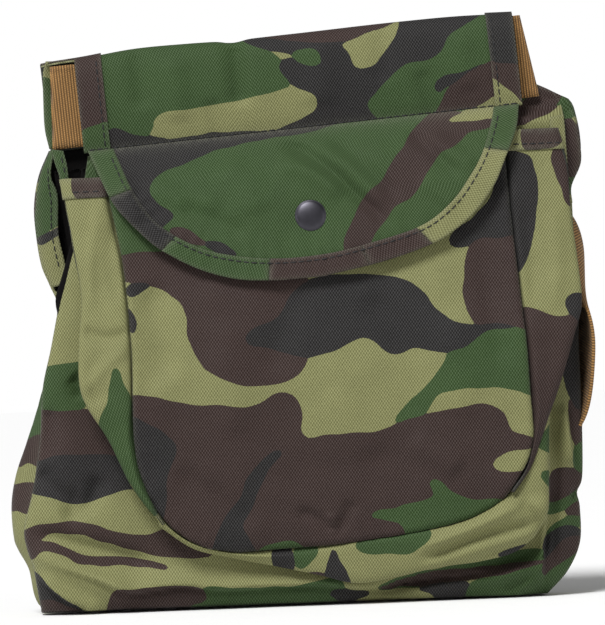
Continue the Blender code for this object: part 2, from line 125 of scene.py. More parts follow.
# Each piece's patches in the order in which they are laid on the ground colour: (ink, outline)
PANEL_PRINT = [
    ("green", [(-92, 201), (-68, 203), (-45, 176), (-59, 170), (-69, 171), (-79, 169), (-86, 168),
        (-90, 187)]),
    ("brown", [(-87, 169), (-60, 171), (-26, 166), (2, 159), (7, 145), (4, 119), (-3, 109), (-15, 106),
        (-29, 107), (-41, 112), (-48, 120), (-52, 131), (-52, 141), (-54, 146), (-59, 151), (-69, 155),
        (-75, 157), (-85, 159)]),
    ("black", [(-81, 154), (-75, 156), (-69, 156), (-73, 153), (-79, 150)]),
    ("black", [(-80, 145), (-78, 141), (-77, 135), (-79, 133), (-80, 140)]),
    ("black", [(-26, 126), (-23, 132), (-15, 135), (-9, 138), (-5, 145), (1, 152), (13, 156), (27, 156),
        (41, 155), (50, 153), (57, 149), (62, 143), (66, 137), (73, 132), (83, 130), (91, 131),
        (100, 130), (109, 128), (109, 126), (98, 127), (89, 127), (83, 123), (76, 119), (69, 118),
        (62, 120), (53, 121), (47, 118), (42, 119), (37, 124), (32, 127), (24, 125), (16, 121), (7, 119),
        (2, 118), (-8, 121), (-18, 124)]),
    ("green", [(70, 118), (77, 120), (83, 123), (89, 127), (98, 128), (110, 127), (111, 97), (101, 100),
        (86, 101), (77, 101), (67, 100), (62, 96), (57, 89), (52, 87), (44, 84), (44, 87), (47, 91),
        (52, 96), (59, 102), (64, 107), (68, 113)]),
    ("brown", [(-83, 102), (-72, 102), (-62, 100), (-53, 97), (-43, 97), (-33, 96), (-24, 95), (-19, 97),
        (-14, 100), (-9, 102), (-4, 101), (-1, 97), (0, 93), (-1, 86), (-2, 82), (2, 79), (10, 81),
        (19, 81), (31, 81), (38, 82), (44, 85), (52, 88), (59, 89), (69, 90), (78, 92), (86, 93),
        (93, 90), (97, 87), (97, 84), (95, 81), (101, 78), (111, 75), (112, 65), (99, 46), (44, 25),
        (-4, 19), (-56, 24), (-83, 49), (-88, 82)]),
    ("khaki", [(112, 72), (106, 71), (99, 71), (91, 68), (88, 64), (91, 61), (96, 60), (102, 60),
        (109, 62)]),
    ("green", [(96, 47), (82, 48), (75, 49), (70, 52), (66, 56), (60, 59), (58, 58), (59, 54), (62, 51),
        (58, 49), (51, 48), (44, 46), (42, 45), (36, 45), (30, 43), (32, 41), (38, 40), (44, 38),
        (47, 34), (49, 26), (77, 28), (99, 39)]),
    ("black", [(-85, 93), (-77, 92), (-71, 89), (-66, 86), (-62, 82), (-59, 77), (-60, 74), (-63, 69),
        (-65, 65), (-65, 59), (-65, 54), (-66, 48), (-69, 42), (-80, 46), (-87, 73)]),
    ("black", [(-13, 75), (-10, 75), (-11, 72), (-15, 68), (-19, 62), (-22, 56), (-24, 50), (-27, 45),
        (-30, 40), (-27, 33), (-24, 28), (-26, 23), (-45, 25), (-43, 34), (-40, 41), (-36, 47),
        (-31, 53), (-28, 60), (-23, 67), (-18, 72)]),
    ("green", [(-25, 23), (-21, 29), (-15, 31), (-8, 32), (-1, 29), (2, 21), (-11, 17)]),
    ("black", [(73, 171), (77, 176), (83, 179), (88, 184), (93, 189), (96, 196), (99, 206), (104, 205),
        (105, 171), (98, 171), (89, 171), (84, 170), (80, 168), (74, 168)]),
    ("brown", [(84, 170), (81, 162), (80, 154), (79, 147), (80, 140), (82, 134), (84, 130), (91, 131),
        (100, 130), (110, 128), (109, 151), (106, 171), (98, 171), (89, 171)]),
]
LEFT_GUSSET_PRINT = [
    ("green", [(-87, 117), (-85, 112), (-82, 105), (-80, 100), (-78, 85), (-77, 70), (-74, 61),
        (-71, 54), (-69, 49), (-73, 46), (-77, 51), (-81, 60), (-87, 70), (-93, 81), (-96, 89),
        (-94, 94), (-91, 101), (-90, 107), (-89, 113)]),
]
LEFT_HEM_PRINT = [
    ("brown", [(-104, 210), (-87, 210), (-86, 196), (-99, 197), (-103, 197)]),
]
BODY_PRINT = [
    ("green", [(-104, 224), (-90, 226), (-91, 204), (-97, 203), (-104, 206)]),
    ("green", [(-125, 116), (-119, 118), (-111, 119), (-100, 119), (-100, 104), (-106, 97), (-115, 96),
        (-127, 98), (-125, 108)]),
    ("brown", [(-127, 98), (-115, 97), (-100, 97), (-94, 90), (-88, 80), (-86, 75), (-101, 75),
        (-111, 77), (-119, 75), (-129, 72), (-129, 89)]),
    ("black", [(-131, 72), (-125, 74), (-118, 76), (-110, 76), (-89, 75), (-83, 66), (-75, 59),
        (-88, 59), (-94, 57), (-102, 54), (-107, 53), (-114, 54), (-121, 57), (-132, 60)]),
    ("brown", [(-137, 38), (-131, 42), (-125, 43), (-118, 44), (-107, 44), (-101, 42), (-92, 39),
        (-84, 37), (-74, 36), (-68, 39), (-62, 38), (-56, 33), (-44, 27), (-52, 25.5), (-64, 26),
        (-75, 28.4), (-83, 30.4), (-90, 33), (-98, 35.5), (-107, 38.6), (-115, 39.6), (-122, 39.5),
        (-126, 37), (-129, 34), (-134, 30), (-136, 33)]),
    ("brown", [(-125, 35), (-119, 33.5), (-115, 32), (-108, 28.4), (-100, 26.8), (-90, 26.6),
        (-79, 25), (-70, 22.8), (-66, 21.6), (-67, 20.6), (-79, 22.4), (-90, 23.4), (-100, 23.6),
        (-107, 24.6), (-114, 28.6), (-121, 31), (-127, 31), (-131, 27), (-134, 30), (-129, 34)]),
    ("black", [(-132, 22), (-127, 18), (-123, 13), (-117, 8), (-107, 1), (-109, -3), (-121, -4),
        (-133, -1), (-132, 10)]),
    ("brown", [(-133, 5), (-125, 8), (-118, 6), (-112, 3), (-107, 1), (-110, -4), (-124, -5), (-134, -1)]),
    ("brown", [(-95, 4), (-93, 10), (-91, 12), (-85, 10), (-80, 11), (-66, 12), (-52, 11), (-48, 8),
        (-48, 5), (-49, 3), (-56, 3), (-59, 2), (-55, -1), (-57, -6), (-94, -5)]),
    ("green", [(-51, 11), (-28, 9), (-14, 9), (-2, 10), (13, 13), (17, 8), (16, 2), (19, -1), (17, -7),
        (-52, -7), (-55, -1), (-58, 2), (-52, 3), (-48, 4), (-48, 8)]),
    ("black", [(9, 5), (13, 7), (21, 6), (29, 5), (26, 3), (22, 2), (19, -1), (15, 1)]),
    ("green", [(30, 6), (45, 12), (64, 15), (83, 19), (115, 23), (116, 17), (93, 16), (78, 13), (64, 9),
        (49, 7)]),
    ("brown", [(30, 6), (54, 13), (74, 15), (93, 16), (115, 18), (115, 15), (92, 12), (78, 10), (64, 8),
        (45, 7)]),
    ("black", [(52, 6), (59, 8), (68, 9), (75, 8), (76, 1), (72, -4), (63, -2), (58, 4)]),
    ("green", [(76, 8), (83, 9), (92, 11), (115, 16), (117, 3), (113, -4), (100, -5), (76, -4)]),
    ("green", [(115, 45), (122, 46), (132, 51), (132, 46), (125, 42), (115, 39)]),
    ("brown", [(117, 59), (131, 59), (132, 52), (122, 46), (115, 45)]),
    ("brown", [(123, 40), (130, 45), (132, 43), (131, 38), (126, 38)]),
    ("green", [(115, 32), (122, 36), (126, 38), (132, 36), (132, 33), (122, 33), (114, 28)]),
    ("black", [(113, 28), (121, 33), (129, 32), (132, 28), (122, 27), (117, 22), (112, 17)]),
    ("brown", [(112, 17), (117, 22), (122, 27), (132, 28), (132, 23), (124, 17), (117, 11), (111, 10)]),
    ("green", [(110, 6), (117, 14), (124, 17), (132, 22), (124, 10), (117, 0), (112, -5)]),
    ("black", [(124, 110), (129, 121), (133, 132), (139, 135), (137, 92), (131, 83), (128, 95)]),
    ("brown", [(127, 95), (131, 86), (137, 93), (136, 71), (129, 71)]),
    ("green", [(129, 71), (136, 73), (136, 60), (129, 59)]),
    ("brown", [(110, 236), (119, 243), (127, 241), (129, 235), (123, 230), (118, 228), (108, 225)]),
    ("brown", [(104, 250), (119, 246), (126, 243), (130, 239), (127, 234), (124.8, 230.8), (116, 227.3),
        (110.4, 226), (104, 226)]),
]
BACK_EDGE_PRINT = [
    ("green", [(-130, 252), (-104, 248), (-104, 200), (-108, 188), (-111, 186), (-117, 184), (-124, 182),
        (-130, 181)]),
    ("black", [(-124, 180), (-117, 182), (-111, 185), (-110, 183), (-116, 180), (-123, 177)]),
    ("green", [(-124, 105), (-117, 112), (-120, 98), (-124, 85), (-133, 84), (-130, 93)]),
    ("brown", [(-137, 70), (-133, 82), (-130, 85), (-123, 86), (-124, 71), (-132, 74)]),
    ("brown", [(-142, 60), (-138, 62), (-133, 63), (-127, 62), (-129, 55), (-132, 49), (-138, 51),
        (-143, 50)]),
    ("brown", [(104, 250), (119, 246), (126, 243), (130, 239), (127, 234), (124.8, 230.8), (116, 227.3),
        (110.4, 226), (104, 226)]),
    ("green", [(129.3, 237), (134, 235), (137, 230), (132, 226.5), (130, 229)]),
    ("brown", [(131, 227), (136, 225), (139, 216), (140, 206), (138, 200), (132, 199), (128, 207)]),
    ("green", [(131, 197), (136, 199), (135, 192), (130, 193)]),
]
GUSSET_BOTTOM_PRINT = [
    ("black", [(-16, 28), (-8, 28), (-7, 19), (-10, 14), (-15, 15)]),
    ("green", [(-5, 29), (5, 29), (1, 21), (-5, 18)]),
    ("black", [(12, 28), (15, 21), (18, 16), (19, 7), (7, 7), (9, 18), (11, 24)]),
    ("brown", [(-9, 13), (1, 16), (8, 15), (8, 6), (-7, 6)]),
    ("green", [(24, 30), (55, 35), (59, 32), (51, 25), (45, 23), (38, 25), (29, 24)]),
    ("green", [(110, 72), (117, 81), (120, 85), (120, 68), (115, 70)]),
    ("green", [(113, 60), (118, 58), (118, 51), (113, 56)]),
    ("black", [(89, 21), (98, 24), (107, 26), (115, 30), (116, 21), (110, 18), (101, 20)]),
]
RIGHT_GUSSET_PRINT = [
    ("black", [(99, 213), (108, 211), (113, 210), (115, 203), (116, 193), (114, 181), (112, 169),
        (109, 161), (106, 155), (100, 153), (98, 170), (98, 194)]),
    ("brown", [(102, 137), (117, 134), (125, 132), (130, 132), (137, 136), (134, 126), (128, 114),
        (123, 100), (117, 84), (112, 72), (107, 58), (101, 46), (92, 47), (98, 56), (104, 70), (105, 84),
        (104, 113)]),
    ("black", [(127, 140), (130, 143), (134, 143), (138, 139), (136, 129), (131, 131), (128, 135)]),
    ("brown", [(126, 214), (130, 213), (133, 208), (134, 197), (134, 185), (130, 186), (128, 194),
        (125, 201), (124, 208)]),
]
RIGHT_HEM_PRINT = [
    ("brown", [(111, 225), (128, 225), (128, 215), (119, 213), (111, 212)]),
]
TUNNEL_PRINT = [
    ("green", [(-94, 52), (-63, 51), (-28, 47), (-20, 42), (-11, 38), (-6, 32), (-7, 26), (-3, 20),
        (-18, 19), (-33, 17), (-50, 16), (-65, 15), (-71, 12), (-73, 8), (-75, 3), (-97, 5), (-100, 24)]),
    ("black", [(-93, 12), (-87, 9), (-82, 6), (-75, 5), (-70, 4), (-65, 1), (-54, 2), (-43, 3), (-32, 2),
        (-16, 0), (-9, 2), (0, 5), (37, 5), (46, -1), (-3, -10), (-60, -11), (-94, -7)]),
    ("khaki", [(-72, 8), (-71, 12), (-67, 15), (-60, 16), (-48, 16), (-33, 17), (-24, 18), (-11, 20),
        (-3, 21), (3, 19), (6, 17), (9, 13), (8, 9), (4, 6), (-1, 4), (-11, 1), (-16, 0), (-25, 2),
        (-32, 2), (-39, 2), (-43, 3), (-49, 2), (-59, 2), (-65, 1), (-68, 5)]),
    ("black", [(-9, 32), (-5, 34), (2, 34), (-6, 38), (-15, 40), (-21, 43), (-26, 47), (-25, 52),
        (4, 52), (52, 50), (96, 50), (97, 44), (88, 43), (83, 41), (78, 39), (74, 37), (71, 32),
        (68, 28), (62, 26), (55, 26), (48, 22), (41, 18), (36, 14), (32, 9), (31, 6), (36, 3), (17, -1),
        (-2, -1), (-1, 4), (4, 6), (8, 9), (9, 13), (6, 17), (2, 19), (-3, 21), (-6, 26), (-9, 29)]),
    ("brown", [(-22, 51), (4, 52), (49, 51), (49, 47), (44, 44), (33, 42), (23, 39), (14, 40), (4, 41),
        (-4, 43), (-15, 46)]),
    ("green", [(-1, 37), (4, 38), (8, 38), (11, 36), (12, 33), (11, 30), (7, 29), (3, 31), (-1, 34)]),
    ("khaki", [(22, 38), (33, 42), (48, 46), (52, 49), (50, 41), (46, 35), (41, 30), (38, 26), (33, 25),
        (29, 25), (27, 27), (26, 30), (24, 35)]),
    ("green", [(32, 7), (32, 10), (37, 14), (43, 19), (48, 23), (54, 26), (62, 26), (68, 28), (71, 32),
        (74, 37), (80, 40), (86, 43), (97, 46), (95, 22), (86, 22), (83, 20), (77, 19), (72, 19),
        (68, 17), (66, 16), (64, 13), (65, 11), (70, 12), (73, 14), (68, 8), (63, 1), (55, -4), (41, -3),
        (33, 4)]),
    ("black", [(64, 13), (66, 16), (71, 18), (77, 18), (83, 20), (88, 21), (95, 23), (95, 19), (88, 19),
        (83, 18), (80, 17), (74, 14), (70, 12), (67, 10), (65, 11)]),
    ("brown", [(74, 14), (83, 19), (96, 22), (95, 7), (86, 3), (82, 1), (74, 0), (67, -3), (59, -5),
        (64, 2), (69, 9)]),
    ("khaki", [(67, -4), (75, -1), (81, 1), (86, 3), (95, 7), (96, -4), (90, -5), (79, -5)]),
]
LEFT_TUNNEL_HEM_PRINT = [
    ("green", [(-106, 10), (-100, 11), (-90, 13), (-91, -10), (-106, -8)]),
]
RIGHT_TUNNEL_HEM_PRINT = [
    ("brown", [(89, 23), (96, 20), (107, 17), (106, 0), (97, 9), (88, 15)]),
    ("khaki", [(89, 15), (93, 14), (97, 10), (102, 5), (107, -2), (106, -6), (87, -4)]),
]
FLAP_PRINT = [
    ("black", [(-101, 11), (-72, 8), (-48, 9), (-20, 10), (18, 8), (21, 2), (11, 1), (5, -2), (-1, -2),
        (-16, -2), (-27, -3), (-46, -6), (-58, -10), (-67, -12), (-74, -15), (-77, -20), (-76, -26),
        (-70, -31), (-64, -35), (-73, -39), (-79, -45), (-100, -26), (-104, -4)]),
    ("brown", [(-69, -42), (-64, -41), (-59, -43), (-55, -47), (-51, -50), (-60, -48)]),
    ("black", [(-53, -49), (-46, -50), (-41, -53), (-38, -57), (-46, -55)]),
    ("brown", [(64, 2), (58, -2), (53, -6), (49, -11), (46, -15), (41, -20), (34, -30), (28, -33),
        (22, -41), (18, -47), (15, -53), (13, -63), (22, -64), (25, -58), (30, -51), (35, -47),
        (37, -43), (42, -40), (48, -37), (54, -30), (59, -23), (63, -18), (70, -16), (74, -13),
        (78, -10), (86, -9), (93, -7), (95, -4), (79, -1), (72, 0)]),
    ("khaki", [(68, -4), (72, -2), (82, 1), (94, 1), (95, -5), (88, -5), (79, -5)]),
]


# ---------------------------------------------------------------- lines and fields

def smooth_line(points, shares):
    """Places at the given shares of the length of a smooth curve through the points."""
    knots = np.array(points, float)
    ends = np.vstack([2 * knots[0] - knots[1], knots, 2 * knots[-1] - knots[-2]])
    step = np.linspace(0, 1, 10, endpoint=False)[:, None]
    runs = []
    for a, b, c, d in zip(ends, ends[1:], ends[2:], ends[3:]):
        curve = 2 * b + (c - a) * step + (2 * a - 5 * b + 4 * c - d) * step ** 2
        runs.append((curve + (3 * b - a - 3 * c + d) * step ** 3) / 2)
    dense = np.vstack(runs + [knots[-1:]])
    lengths = np.linalg.norm(np.diff(dense, axis=0), axis=1)
    along = np.concatenate([[0], np.cumsum(lengths)])
    where = np.asarray(shares) * along[-1]
    return np.column_stack([np.interp(where, along, column) for column in dense.T])


def line_length(points):
    """Length of a polyline."""
    return float(np.linalg.norm(np.diff(points, axis=0), axis=1).sum())


def even_line(points, pitch):
    """A smooth curve through the points, read about every pitch."""
    rough = smooth_line(points, np.linspace(0, 1, 200))
    count = max(2, int(round(line_length(rough) / pitch)) + 1)
    return smooth_line(points, np.linspace(0, 1, count))


def profile(stations, heights):
    """A smooth reading of (height, value) stations."""
    knots = np.array(stations, float)
    xs, ys = knots[:, 0], knots[:, 1]
    slopes = np.gradient(ys, xs)
    heights = np.clip(heights, xs[0], xs[-1])
    index = np.clip(np.searchsorted(xs, heights, side="right") - 1, 0, len(xs) - 2)
    width = xs[index + 1] - xs[index]
    t = (heights - xs[index]) / width
    rise = 3 * t ** 2 - 2 * t ** 3
    bend = slopes[index] * (t ** 3 - 2 * t ** 2 + t) + slopes[index + 1] * (t ** 3 - t ** 2)
    return ys[index] + (ys[index + 1] - ys[index]) * rise + width * bend


def ease(value):
    """A smooth rise from 0 to 1."""
    t = np.clip(value, 0, 1)
    return t * t * (3 - 2 * t)


def spread(count, ends=0.75):
    """Shares from 0 to 1 that lie closer together towards both ends."""
    share = np.linspace(0, 1, count)
    return share - ends * np.sin(2 * np.pi * share) / (2 * np.pi)


def nearest(places, line):
    """Distance from each place to a polyline, signed distance to its left, and the share along it."""
    best = np.full(len(places), np.inf)
    left = np.zeros(len(places))
    share = np.zeros(len(places))
    segments = len(line) - 1
    for index in range(segments):
        start, way = line[index], line[index + 1] - line[index]
        gap = places - start
        part = np.clip(gap @ way / (way @ way), 0, 1)
        off = gap - part[:, None] * way
        distance = np.hypot(off[:, 0], off[:, 1])
        closer = distance < best
        best[closer] = distance[closer]
        turn = way[0] * off[:, 1] - way[1] * off[:, 0]
        left[closer] = (np.sign(turn) * distance)[closer]
        share[closer] = ((index + part) / segments)[closer]
    return best, left, share


def closed_loop(outline):
    """A smooth closed polyline through the points of an outline."""
    ring = np.array(outline, float)
    ring = np.vstack([ring[-2:], ring, ring[:2]])
    curve = smooth_line(ring, np.linspace(0, 1, 6 * len(ring)))
    after = len(curve) // 2
    start = np.argmin(np.linalg.norm(curve[:after] - ring[2], axis=1))
    end = after + np.argmin(np.linalg.norm(curve[after:] - ring[2], axis=1))
    loop = curve[start:end]
    steps = range(-PRINT_SOFTENING, PRINT_SOFTENING + 1)
    loop = sum(np.roll(loop, step, axis=0) for step in steps) / len(steps)
    return np.vstack([loop, loop[:1]])


def inside(places, outline):
    """Signed distance from a smooth closed outline, positive inside, and -PRINT_LIMIT where far outside."""
    loop = closed_loop(outline)
    low, high = loop.min(0) - PRINT_LIMIT, loop.max(0) + PRINT_LIMIT
    close = np.all((places > low) & (places < high), axis=1)
    result = np.full(len(places), -PRINT_LIMIT)
    spots = places[close]
    if not len(spots):
        return result
    distance, _, _ = nearest(spots, loop)
    crossings = np.zeros(len(spots), bool)
    for a, b in zip(loop, loop[1:]):
        spans = (a[1] > spots[:, 1]) != (b[1] > spots[:, 1])
        rise = b[1] - a[1] or 1.0
        cut = a[0] + (spots[:, 1] - a[1]) * (b[0] - a[0]) / rise
        crossings ^= spans & (spots[:, 0] < cut)
    result[close] = np.where(crossings, distance, -distance)
    return result


def cloud(places, seed, size, count=7):
    """Smooth noise between about -1 and 1 with features of about the size, in millimetres."""
    draw = np.random.default_rng(seed)
    angles = draw.uniform(0, 2 * np.pi, count)
    sizes = size * draw.uniform(0.7, 1.6, count)
    phases = draw.uniform(0, 2 * np.pi, count)
    total = np.zeros(len(places))
    for angle, wave, phase in zip(angles, sizes, phases):
        total += np.sin(2 * np.pi * (places @ (math.cos(angle), math.sin(angle))) / wave + phase)
    return total / math.sqrt(count)


# ---------------------------------------------------------------- the cloth's print

INKS = ("khaki", "green", "brown", "black")
PRINT_LIMIT = 6.0
PRINT_WANDER = 0.25
GROUND_GIVE = 1.2
PRINT_SOFTENING = 2
WOODLAND_STRETCH = 0.55
WOODLAND_WANDER = 7
WOODLAND_WANDER_SIZE = 30
# Each ink's sharpness, blob size and share of the cloth
WOODLAND_INKS = (("green", 9, 62, 0.05), ("brown", 9, 58, -0.35), ("black", 8, 44, -0.8))


def lay_ink(fields, ink, region):
    """Prints one colour over the others where region is positive."""
    for name in INKS:
        if name == ink:
            fields[name] = np.maximum(fields[name], region)
        else:
            fields[name] = np.minimum(fields[name], -region)


def bare_cloth(places, ground):
    """Print fields of a plain ground colour."""
    fields = {name: np.full(len(places), -PRINT_LIMIT) for name in INKS}
    fields[ground] = np.full(len(places), PRINT_LIMIT)
    return fields


def printed(places, patches, ground="khaki"):
    """Print fields of drawn patches on a ground colour."""
    fields = bare_cloth(places, ground)
    wander = np.column_stack([cloud(places, 5, 14), cloud(places, 6, 14)]) * PRINT_WANDER
    for ink, outline in patches:
        lay_ink(fields, ink, inside(places + wander, outline))
    fields[ground] -= GROUND_GIVE
    return fields


def woodland(places, seed):
    """Print fields of a woodland pattern where no patch is drawn: long blobs in three colours."""
    shifts = [cloud(places, seed + step, WOODLAND_WANDER_SIZE) for step in (7, 8)]
    spots = (places + np.column_stack(shifts) * WOODLAND_WANDER) * (WOODLAND_STRETCH, 1.0)
    fields = bare_cloth(places, "khaki")
    for step, (ink, sharpness, size, share) in enumerate(WOODLAND_INKS):
        lay_ink(fields, ink, sharpness * (cloud(spots, seed + step, size) + share))
    return fields


def merged(fields, others, share):
    """One print that turns into another as share goes from 0 to 1."""
    return {name: fields[name] * (1 - share) + others[name] * share for name in INKS}


# ---------------------------------------------------------------- folds in the cloth

FOLD_STRENGTH = 1.7
LIP_SHARPNESS = 0.4
LIP_GROOVE = 2.2
LIP_UNDERCUT = 0.35
FOLD_FADE = 0.22
FOLD_PITCH = 4.0


def relief(places, folds):
    """Height that folds add to a cloth lying in the (x, z) plane.

    A ridge is (height, width, points), and a valley has a negative height. A lip is (height, width,
    points, "lip"): the cloth on the left of the line stands up and drops sharply at the line.
    """
    total = np.zeros(len(places))
    for height, width, points, *kind in folds:
        line = even_line(points, FOLD_PITCH)
        distance, left, share = nearest(places, line)
        fade = ease(np.minimum(share, 1 - share) / FOLD_FADE)
        spread_out = np.exp(-(distance / width) ** 2)
        if kind:
            step = 0.5 + 0.5 * np.tanh(left / LIP_SHARPNESS)
            groove = np.exp(-(distance / LIP_GROOVE) ** 2) * (1 - step)
            total += height * fade * (step * spread_out - LIP_UNDERCUT * groove)
        else:
            total += height * fade * spread_out
    return total * FOLD_STRENGTH


# ---------------------------------------------------------------- meshes

def tilted(u, v):
    """(x, z) of a place in the tunnel's and flap's own (u, v)."""
    x = STITCH_LINE[0] + u * math.cos(TILT) - v * math.sin(TILT)
    z = STITCH_LINE[1] + u * math.sin(TILT) + v * math.cos(TILT)
    return x, z


def world(grid):
    """World coordinates, in metres, of an array of (x, z, depth) millimetres."""
    grid = np.asarray(grid, float)
    return np.stack([grid[..., 0] * MM, BACK_Y - grid[..., 2] * MM, grid[..., 1] * MM], axis=-1)


def chords(left, right, rows, columns, ends=0.75):
    """(x, z) places on straight rows from a left boundary to a right one, both read top to bottom."""
    shares = np.linspace(0, 1, rows)
    start, end = smooth_line(left, shares), smooth_line(right, shares)
    across = spread(columns, ends)[None, :, None]
    return start[:, None, :] * (1 - across) + end[:, None, :] * across


def loft(rails, rows, columns):
    """A smooth surface through rails of (x, z, depth): rows run along the rails, columns across."""
    along = np.stack([smooth_line(rail, np.linspace(0, 1, rows)) for rail in rails], axis=1)
    return np.stack([smooth_line(section, np.linspace(0, 1, columns)) for section in along])


def grid_normals(points):
    """Unit normals of a grid of world places whose rows run down and columns to the right."""
    down = np.gradient(points, axis=0)
    across = np.gradient(points, axis=1)
    normals = np.cross(down, across)
    return normals / np.maximum(np.linalg.norm(normals, axis=-1, keepdims=True), 1e-12)


def run_lengths(points, axis):
    """Distance along each row or column of a grid, in millimetres, from its middle."""
    steps = np.linalg.norm(np.diff(points, axis=axis), axis=-1) / MM
    total = np.concatenate([np.zeros_like(np.take(steps, [0], axis)), np.cumsum(steps, axis)], axis)
    return total - np.take(total, [points.shape[axis] // 2], axis)


def quads(rows, columns, offset, flip):
    """Faces of a grid of vertices."""
    index = offset + np.arange(rows * columns).reshape(rows, columns)
    corners = [index[:-1, :-1], index[1:, :-1], index[1:, 1:], index[:-1, 1:]]
    faces = np.stack([corner.ravel() for corner in corners], axis=1)
    return faces[:, ::-1] if flip else faces


def rim_quads(rows, columns):
    """Faces that join the edges of a front grid to those of the back grid that follows it."""
    index = np.arange(rows * columns).reshape(rows, columns)
    ring = np.concatenate([index[0, :-1], index[:-1, -1], index[-1, :0:-1], index[:0:-1, 0]])
    following = np.roll(ring, -1)
    back = rows * columns
    return np.stack([ring, following, following + back, ring + back], axis=1)


def set_attribute(mesh, name, kind, values):
    """Stores a value for each vertex."""
    attribute = mesh.attributes.new(name, kind, "POINT")
    field = "vector" if kind == "FLOAT_VECTOR" else "value"
    attribute.data.foreach_set(field, np.asarray(values, np.float32).ravel())


def new_object(name, vertices, faces, materials, indices=None):
    """A smooth-shaded mesh object."""
    mesh = bpy.data.meshes.new(name)
    mesh.from_pydata(np.asarray(vertices).tolist(), [], np.asarray(faces).tolist())
    for material in materials:
        mesh.materials.append(material)
    if indices is not None:
        mesh.polygons.foreach_set("material_index", np.asarray(indices, np.int32))
    mesh.shade_smooth()
    item = bpy.data.objects.new(name, mesh)
    bpy.context.scene.collection.objects.link(item)
    return item


THIN_CLOTH = 1.5
PADDING_RISE = 3


def settled(points, passes=40):
    """A grid of places with its small folds smoothed away, held at its rim."""
    result = points.copy()
    for _ in range(passes):
        beside = result[1:-1, :-2] + result[1:-1, 2:]
        result[1:-1, 1:-1] = (result[:-2, 1:-1] + result[2:, 1:-1] + beside) / 4
    return result


def inner_face(front, depth):
    """The inner face of a piece: parallel to thin cloth, and smoother than the folds of a padded wall."""
    padded = np.clip((depth - THIN_CLOTH) / PADDING_RISE, 0, 1)[..., None]
    base = front + (settled(front) - front) * padded
    return base - grid_normals(base) * depth[..., None] * MM


def weave_places(grid, front, planar):
    """Where each vertex lies on the flat cloth, in millimetres.

    Planar cloth is read straight from (x, z), and falls away where it lies behind the planar depth.
    """
    if planar is not None:
        fall = np.maximum(0, planar - grid[..., 2])
        return np.stack([grid[..., 0], grid[..., 1] - fall], axis=-1).reshape(-1, 2)
    middle = np.asarray(grid)[grid.shape[0] // 2, grid.shape[1] // 2]
    across = middle[0] + run_lengths(front, 1)
    up = middle[1] - run_lengths(front, 0)
    return np.stack([across, up], axis=-1).reshape(-1, 2)


def cloth(name, grid, thickness, fields, materials, wear=None, planar=None):
    """A closed piece of cloth: the grid is its front, and its back lies a thickness behind it."""
    front = world(grid)
    rows, columns = front.shape[:2]
    depth = np.broadcast_to(np.asarray(thickness, float), (rows, columns))
    back = inner_face(front, depth)
    count = rows * columns
    vertices = np.concatenate([front.reshape(-1, 3), back.reshape(-1, 3)])
    sides = [quads(rows, columns, 0, False), quads(rows, columns, count, True), rim_quads(rows, columns)]
    indices = np.concatenate([np.full(len(side), index) for index, side in zip((0, 1, 0), sides)])
    item = new_object(name, vertices, np.concatenate(sides), materials, indices)
    lay = np.column_stack([weave_places(grid, front, planar), np.zeros(count)])
    set_attribute(item.data, "cloth", "FLOAT_VECTOR", np.concatenate([lay, lay]))
    if fields is not None:
        inks = np.column_stack([np.clip(fields[ink], -PRINT_LIMIT, PRINT_LIMIT) for ink in INKS[1:]])
        ground = np.clip(fields["khaki"], -PRINT_LIMIT, PRINT_LIMIT)
        set_attribute(item.data, "print", "FLOAT_VECTOR", np.concatenate([inks, inks]))
        set_attribute(item.data, "ground", "FLOAT", np.concatenate([ground, ground]))
    worn = np.zeros(count) if wear is None else np.asarray(wear).ravel()
    set_attribute(item.data, "wear", "FLOAT", np.concatenate([worn, worn]))
    return item


def edge_wear(rows, columns, reach=1.5):
    """Wear that is 1 on a grid's edges and fades inwards over a few cells."""
    row = np.minimum(np.arange(rows), np.arange(rows)[::-1])[:, None]
    column = np.minimum(np.arange(columns), np.arange(columns)[::-1])[None, :]
    return np.exp(-np.minimum(row, column) / reach)


# ---------------------------------------------------------------- materials

